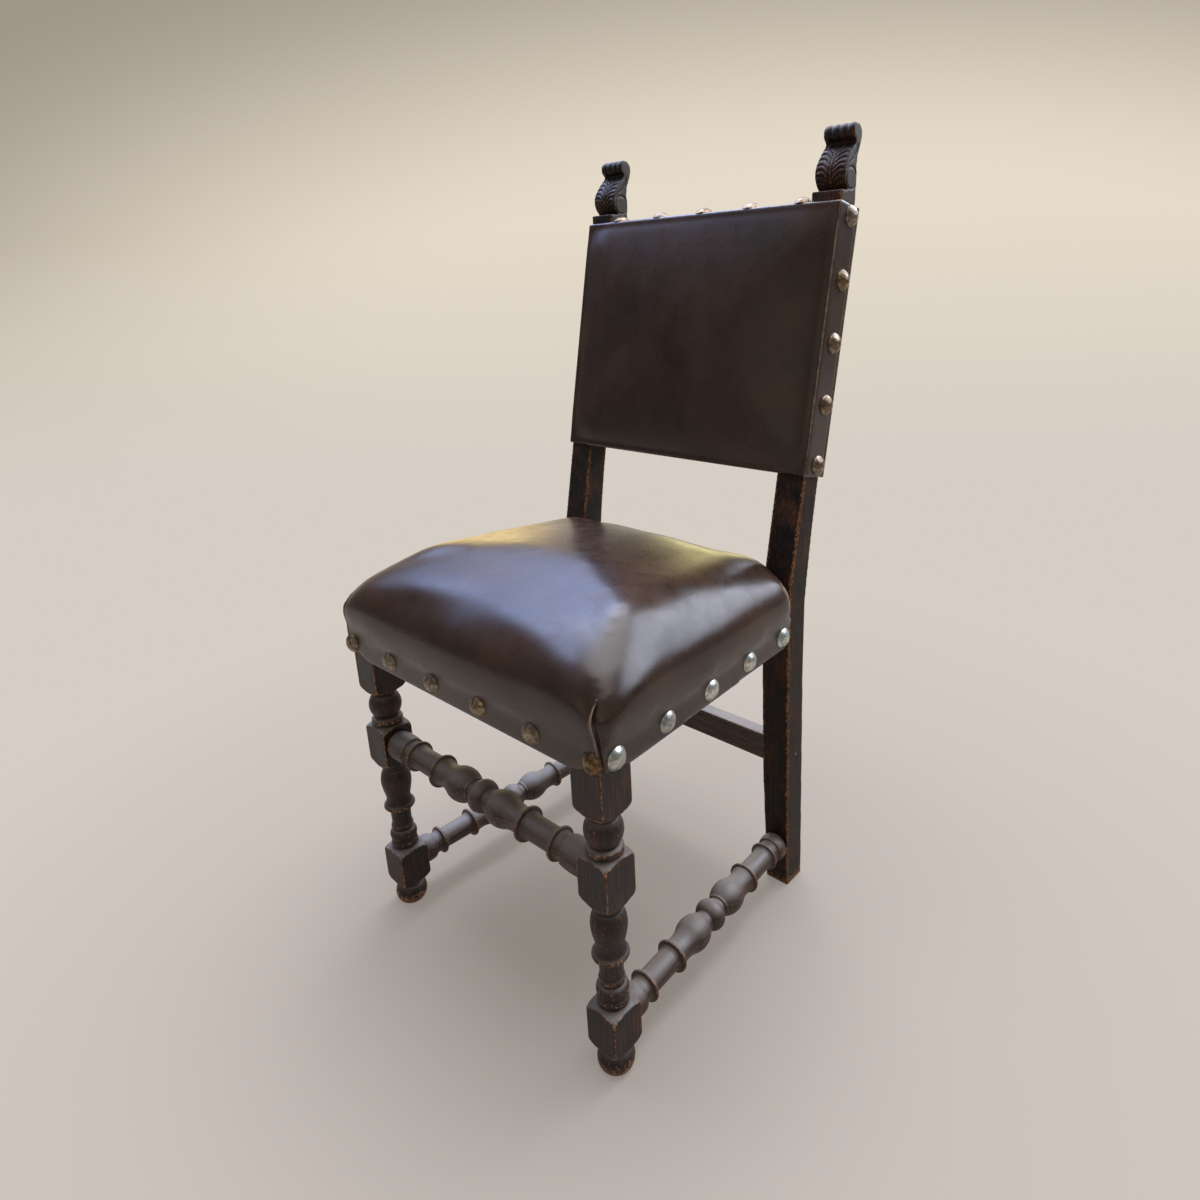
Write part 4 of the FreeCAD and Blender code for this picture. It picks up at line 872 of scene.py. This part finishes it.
def addStud(bm, toneLayer, seatAt, axis, length, tone):
    radius, dome, shank = stud["radius"], stud["dome"], stud["shank"]
    sphere = (radius ** 2 + dome ** 2) / (2 * dome)
    centre = dome - sphere
    angles = [math.asin(radius / sphere) * step / stud["rings"] for step in range(stud["rings"] + 1)]
    outline = [(sphere * math.sin(angle), centre + sphere * math.cos(angle)) for angle in angles]
    outline += [(radius - inward, up) for inward, up in stud["lip"]]
    outline += [(shank, stud["hollow"]), (shank, dome - length + 2 * shank), (0, dome - length)]
    fresh = [bm.verts.new((out, 0, up)) for out, up in outline]
    rail = [bm.edges.new(pair) for pair in zip(fresh, fresh[1:])]
    before = set(bm.verts)
    bmesh.ops.spin(bm, geom=fresh + rail, cent=(0, 0, 0), axis=(0, 0, 1), angle=2 * math.pi,
                   steps=stud["steps"], use_merge=True)
    mine = fresh + [vert for vert in bm.verts if vert not in before]
    bmesh.ops.remove_doubles(bm, verts=mine, dist=stud["weld"])
    mine = [vert for vert in mine if vert.is_valid]
    bmesh.ops.recalc_face_normals(bm, faces=list({face for vert in mine for face in vert.link_faces}))
    start = Vector((chance.random(), chance.random(), chance.random())) * stud["apart"]
    for vert in mine:
        vert[toneLayer] = tone
        if vert.co.z > stud["dentFrom"]:
            nearest = noise.voronoi(vert.co / stud["facet"] + start)[0][0]
            dent = stud["dent"] * max(0, 1 - (nearest / stud["dentReach"]) ** 2)
            outwards = (vert.co - Vector((0, 0, centre))).normalized()
            vert.co -= outwards * dent * min(1, vert.co.z / stud["dentFull"])
    turn = Vector((0, 0, 1)).rotation_difference(axis).to_matrix().to_4x4()
    spin = Matrix.Rotation(chance.random() * 2 * math.pi, 4, "Z")
    bmesh.ops.transform(bm, matrix=Matrix.Translation(seatAt) @ turn @ spin, verts=mine)


for node, (outward, tone, spread, tarnish) in stud["rows"].items():
    bm = bmesh.new()
    toneLayer = bm.verts.layers.float.new("tone")
    for seatAt, axis, length in studPlaces(node, Vector(outward)):
        addStud(bm, toneLayer, seatAt, axis, length, tone + chance.uniform(-spread, spread))
    obj = asObject(bm, pieceName(node))
    keepRelief(obj.data, *stud["relief"], -tarnish)
    dress(obj, brass, "stud_brass", node)
print("studs driven")

strapping = {"thick": 1.1 * mm, "cells": 6 * mm, "across": 6, "lift": 0.65 * mm, "crossing": (0.35, 0.8)}


def boxOf(verts):
    spots = np.array([vert.co[:] for vert in verts])
    return spots.min(axis=0), spots.max(axis=0)


def strapBoxes(node, turn=None):
    bm = nodeCopy(node, turn)
    boxes = [boxOf(island) for island in islandsOf(bm)]
    bm.free()
    return sorted(boxes, key=lambda pair: tuple(pair[0]))


def makeStraps(node, run, flat, crossing, sign, leant=False):  # over and under those that cross
    cross = 3 - run - flat
    boxes = strapBoxes(node, upright if leant else None)
    bm = bmesh.new()
    for index, (low, high) in enumerate(boxes):
        size = high - low
        steps = int(size[run] / strapping["cells"])
        grid = bmesh.ops.create_grid(bm, x_segments=steps, y_segments=strapping["across"], size=0.5)
        for vert in grid["verts"]:
            spot = (low + high) / 2
            spot[run] = low[run] + (vert.co.x + 0.5) * size[run]
            spot[cross] = low[cross] + (vert.co.y + 0.5) * size[cross]
            for other, (start, stop) in enumerate(crossing):
                away = abs(spot[run] - (start + stop) / 2) / (stop - start)
                over = sign if (index + other) % 2 else -sign
                spot[flat] += over * strapping["lift"] * (1 - smoothstep(*strapping["crossing"], away))
            vert.co = spot
    thickened(bm, strapping["thick"])
    middle = sum(vert.co[flat] for vert in bm.verts) / len(bm.verts)
    offset = [0, 0, 0]
    offset[flat] = (boxes[0][0][flat] + boxes[0][1][flat]) / 2 - middle
    bmesh.ops.translate(bm, verts=bm.verts, vec=offset)
    dress(asObject(bm, pieceName(node), leaning if leant else None), juteStrap, "webbing", node)


lengthwise = strapBoxes("seat_webbing_lengthwise")
crosswise = strapBoxes("seat_webbing_crosswise")
makeStraps("seat_webbing_lengthwise", 1, 2, [(low[1], high[1]) for low, high in crosswise], 1)
makeStraps("seat_webbing_crosswise", 0, 2, [(low[0], high[0]) for low, high in lengthwise], -1)
makeStraps("back_webbing", 2, 1, [], 1, leant=True)
print("straps stretched")

burlap = {"cells": 12 * mm, "thick": 0.8 * mm, "billow": 0.35 * mm, "wave": 45 * mm, "facing": 0.9}


def cutIntoCells(bm, axes, size):  # and gives the box of what was cut
    low, high = boxOf(bm.verts)
    for axis in axes:
        normal = Vector([float(each == axis) for each in range(3)])
        for place in np.arange(low[axis] + size, high[axis], size):
            geom = [*bm.verts, *bm.edges, *bm.faces]
            bmesh.ops.bisect_plane(bm, geom=geom, plane_co=normal * float(place), plane_no=normal)
    return low, high


def makeBurlap(node, axes, flat, leant=False):  # one face of the CAD sheet, made a little uneven
    bm = nodeCopy(node, upright if leant else None)
    others = [face for face in bm.faces if face.normal[flat] < burlap["facing"]]
    bmesh.ops.delete(bm, geom=others, context="FACES")
    low, high = cutIntoCells(bm, axes, burlap["cells"])
    area = sum(face.calc_area() for face in bm.faces)
    for vert in bm.verts:
        vert.co[flat] += burlap["billow"] * (noise.noise(vert.co / burlap["wave"]) - 0.5)
    thickened(bm, burlap["thick"])
    obj = dress(asObject(bm, pieceName(node), leaning if leant else None), burlapCloth, "burlap", node)


makeBurlap("seat_burlap", (0, 1), 2)
makeBurlap("back_burlap", (0, 2), 1, leant=True)
print("burlap laid")

padding = {"cells": 8 * mm, "edgeDraw": 1.0 * mm, "edgeRun": 15 * mm, "puff": 0.4 * mm, "wave": 30 * mm}


def makeLining():  # a sheet of wadding behind the back's frame, drawn in at its edges
    bm = nodeCopy("back_lining", upright)
    low, high = cutIntoCells(bm, (0, 2), padding["cells"])
    for vert in bm.verts:
        inner = min(vert.co.x - low[0], high[0] - vert.co.x, vert.co.z - low[2], high[2] - vert.co.z)
        drawn = padding["edgeDraw"] * (1 - min(1, inner / padding["edgeRun"]))
        drawn += padding["puff"] * (noise.noise(vert.co / padding["wave"]) + 0.5)
        vert.co.y += drawn if vert.co.y < (low[1] + high[1]) / 2 else -drawn
    obj = dress(asObject(bm, "backLining", leaning), wadding, "stuffing", "back_lining")


makeLining()
print("lining laid")

studio = {
    "floorFront": -3.2, "floorBack": 2.3, "sweepRound": 1.6, "sweepSteps": 16,
    "wallTop": 6.0, "halfWide": 6.5,
    "turn": 41,   # degrees, to face the camera
    "floor": "#d6cdc5", "wall": "#e6dbc9", "wallFrom": 1.2, "edge": "#8f857a", "edgeMost": 0.85,
    "glow": (-1.5, 3.6, 0.7),   # a painted pool of light: the wall is palest round this place
    "glowShape": (0.5, 0.5, 1.6), "glowReach": (1.2, 3.6),
    "litReach": (0.35, 1.3),   # the shadow fades out from the first distance to the second
    "paleLeast": 0.32,
}


def mattPaper(add, place):
    # Matt paper: no shine, cooler on the floor and warmer up the wall, with a painted pool of light on the
    # wall and painted shade away from its middle.
    height = add("SeparateXYZ", {"Vector": place}).outputs["Z"]
    high = add("MapRange", {"Value": height}, (0, studio["wallFrom"]))
    shade = add("Mix", {0: high, 6: studio["floor"], 7: studio["wall"]})
    offset = add("VectorMath", {0: place, 1: studio["glow"]}, operation="SUBTRACT")
    shaped = add("VectorMath", {0: offset, 1: studio["glowShape"]}, operation="MULTIPLY")
    away = add("VectorMath", {0: shaped}, operation="LENGTH")
    # painted shade towards the paper's edges, around the painted pool of light
    rim = add("MapRange", {"Value": away}, (*studio["glowReach"], 0, studio["edgeMost"]), **eased)
    dim = add("Math", {0: rim, 1: high}, operation="MULTIPLY")
    paper = add("Mix", {0: dim, 6: shade, 7: studio["edge"]})
    lit = add("BsdfPrincipled", {"Roughness": 0.95, "Specular IOR Level": 0.1, "Base Color": paper})
    # beyond the chair's shadow the paper shows its own colour to the eye and in reflections
    ray = add("LightPath").outputs
    mirrored = add("Math", {0: ray["Is Glossy Ray"], 1: ray["Is Transmission Ray"]}, operation="MAXIMUM")
    seen = add("Math", {0: ray["Is Camera Ray"], 1: mirrored}, operation="MAXIMUM")
    span = add("VectorMath", {0: place}, operation="LENGTH")
    far = add("MapRange", {"Value": span}, (*studio["litReach"], studio["paleLeast"]), **eased)
    share = add("Math", {0: seen, 1: far}, operation="MULTIPLY")
    return add("MixShader", {0: share, 1: lit, 2: add("Emission", {"Color": paper})})


def paleSweep():
    bm = bmesh.new()
    path = [(studio["floorFront"], 0), (studio["floorBack"], 0)]
    for step in range(1, studio["sweepSteps"] + 1):
        angle = math.pi / 2 * step / studio["sweepSteps"]
        path.append((studio["floorBack"] + studio["sweepRound"] * math.sin(angle),
                     studio["sweepRound"] * (1 - math.cos(angle))))
    path.append((studio["floorBack"] + studio["sweepRound"], studio["wallTop"]))
    line = [bm.verts.new((-studio["halfWide"], y, z)) for y, z in path]
    edges = [bm.edges.new(pair) for pair in zip(line, line[1:])]
    grown = bmesh.ops.extrude_edge_only(bm, edges=edges)
    farSide = [item for item in grown["geom"] if isinstance(item, bmesh.types.BMVert)]
    bmesh.ops.translate(bm, verts=farSide, vec=(2 * studio["halfWide"], 0, 0))
    bmesh.ops.recalc_face_normals(bm, faces=bm.faces)
    obj = asObject(bm, "sweep", Matrix.Rotation(math.radians(studio["turn"]), 4, "Z"))
    obj.data.materials.append(makeMaterial("matt_paper", mattPaper))
    obj.data.shade_smooth()


chair = bpy.data.collections.new("chair")
for obj in scene.objects:
    if obj.type == "MESH":
        chair.objects.link(obj)
paleSweep()

lamps = {
    # name: (degrees right of the back, degrees up, metres away, width, height, brightness, colour)
    "skyLeft": (-73, 48, 2.6, 2.9, 1.6, 5.8, "#a9c4ff"),
    "skyFore": (-99, 52, 2.6, 1.0, 0.8, 4.5, "#bccbf2"),
    "skyRight": (27, 37, 2.6, 2.6, 1.5, 9.0, "#e2ebff"),
    "skyTop": (-34, 60, 2.6, 2.6, 0.9, 4.6, "#d0dcfc"),
    "gardenLeft": (-60, 8, 2.6, 0.8, 1.2, 2.0, "#ffd97a"),
    "gardenRight": (-26, 12, 2.6, 0.8, 1.0, 2.9, "#fff0a0"),
    "frontSky": (-128, 48, 2.6, 1.9, 1.2, 0.35, "#e6ecf8"),
    "porch": (-163, 15, 2.6, 1.0, 1.5, 0.6, "#f0e6cf"),
    "frontFill": (145, 28, 3.4, 2.2, 1.8, 0.9, "#ffeedb"),
    "overhead": (-10, 78, 2.9, 3.0, 3.0, 5.2, "#f4f5fa"),
}
onPaper = {"overhead"}   # the others light the chair alone
aim = Vector((0, 0, 0.54))
softEdge = 0.32   # share of a lamp's width over which it fades out at each edge
spill = 1.3       # lamps are this much larger, so that half their brightness falls where their size says


def softBox(lamp):  # bright in the middle, fading out towards the edges
    lamp.use_nodes = True
    add = partial(addNode, lamp.node_tree)
    parts = add("SeparateXYZ", {0: add("NewGeometry").outputs["Parametric"]}).outputs
    fades = []
    for axis in ("X", "Y"):
        offset = add("Math", {0: parts[axis], 1: -0.5}, operation="ADD")
        away = add("Math", {0: offset}, operation="ABSOLUTE")
        fades.append(add("MapRange", {"Value": away}, (0.5 - softEdge, 0.5, 1, 0), **eased))
    both = add("Math", {0: fades[0], 1: fades[1]}, operation="MULTIPLY")
    lamp.node_tree.links.new(both.outputs[0], lamp.node_tree.nodes["Emission"].inputs["Strength"])


for name, (turn, rise, away, wide, tall, bright, colour) in lamps.items():
    lamp = bpy.data.lights.new(name, "AREA")
    lamp.shape = "RECTANGLE"
    lamp.size = spill * wide
    lamp.size_y = spill * tall
    lamp.energy = bright * math.pi * lamp.size * lamp.size_y
    lamp.color = linear(colour)[:3]
    softBox(lamp)
    holder = bpy.data.objects.new(name, lamp)
    turn, rise = math.radians(turn), math.radians(rise)
    level = away * math.cos(rise)
    place = aim + Vector((level * math.sin(turn), level * math.cos(turn), away * math.sin(rise)))
    holder.location = place
    holder.rotation_euler = (aim - place).to_track_quat("-Z", "Y").to_euler()
    holder.visible_camera = False
    if name not in onPaper:
        holder.light_linking.receiver_collection = chair
    scene.collection.objects.link(holder)

room = {"colour": "#dedcd8", "strength": 0.22}
world = bpy.data.worlds.new("room")
world.use_nodes = True
world.node_tree.nodes["Background"].inputs["Color"].default_value = linear(room["colour"])
world.node_tree.nodes["Background"].inputs["Strength"].default_value = room["strength"]
scene.world = world
scene.view_settings.view_transform = "Standard"

view = {
    "place": (0.7242, -0.7300, 0.8783),
    "yaw": 41.41, "pitch": 17.01, "roll": -1.83,   # degrees: left of +Y, down, turned
    "focal": 789.8, "middle": (649.7, 525.2), "photo": 1200,   # pixels of the photograph
    "sensor": 36, "nearest": 0.01,
}


def makeCamera():
    camera = bpy.data.cameras.new("camera")
    camera.sensor_width = view["sensor"]
    camera.lens = view["focal"] * camera.sensor_width / view["photo"]
    camera.shift_x = (view["photo"] / 2 - view["middle"][0]) / view["photo"]
    camera.shift_y = (view["middle"][1] - view["photo"] / 2) / view["photo"]
    camera.clip_start = view["nearest"]
    yaw, pitch, roll = (math.radians(view[name]) for name in ("yaw", "pitch", "roll"))
    ahead = Vector((-math.sin(yaw) * math.cos(pitch), math.cos(yaw) * math.cos(pitch), -math.sin(pitch)))
    level = Vector((math.cos(yaw), math.sin(yaw), 0))
    over = level.cross(ahead)
    right = math.cos(roll) * level + math.sin(roll) * over
    up = math.cos(roll) * over - math.sin(roll) * level
    holder = bpy.data.objects.new("camera", camera)
    turned = Matrix((right, up, -ahead)).transposed().to_4x4()
    holder.matrix_world = Matrix.Translation(view["place"]) @ turned
    scene.collection.objects.link(holder)
    scene.camera = holder


makeCamera()
print("studio set")
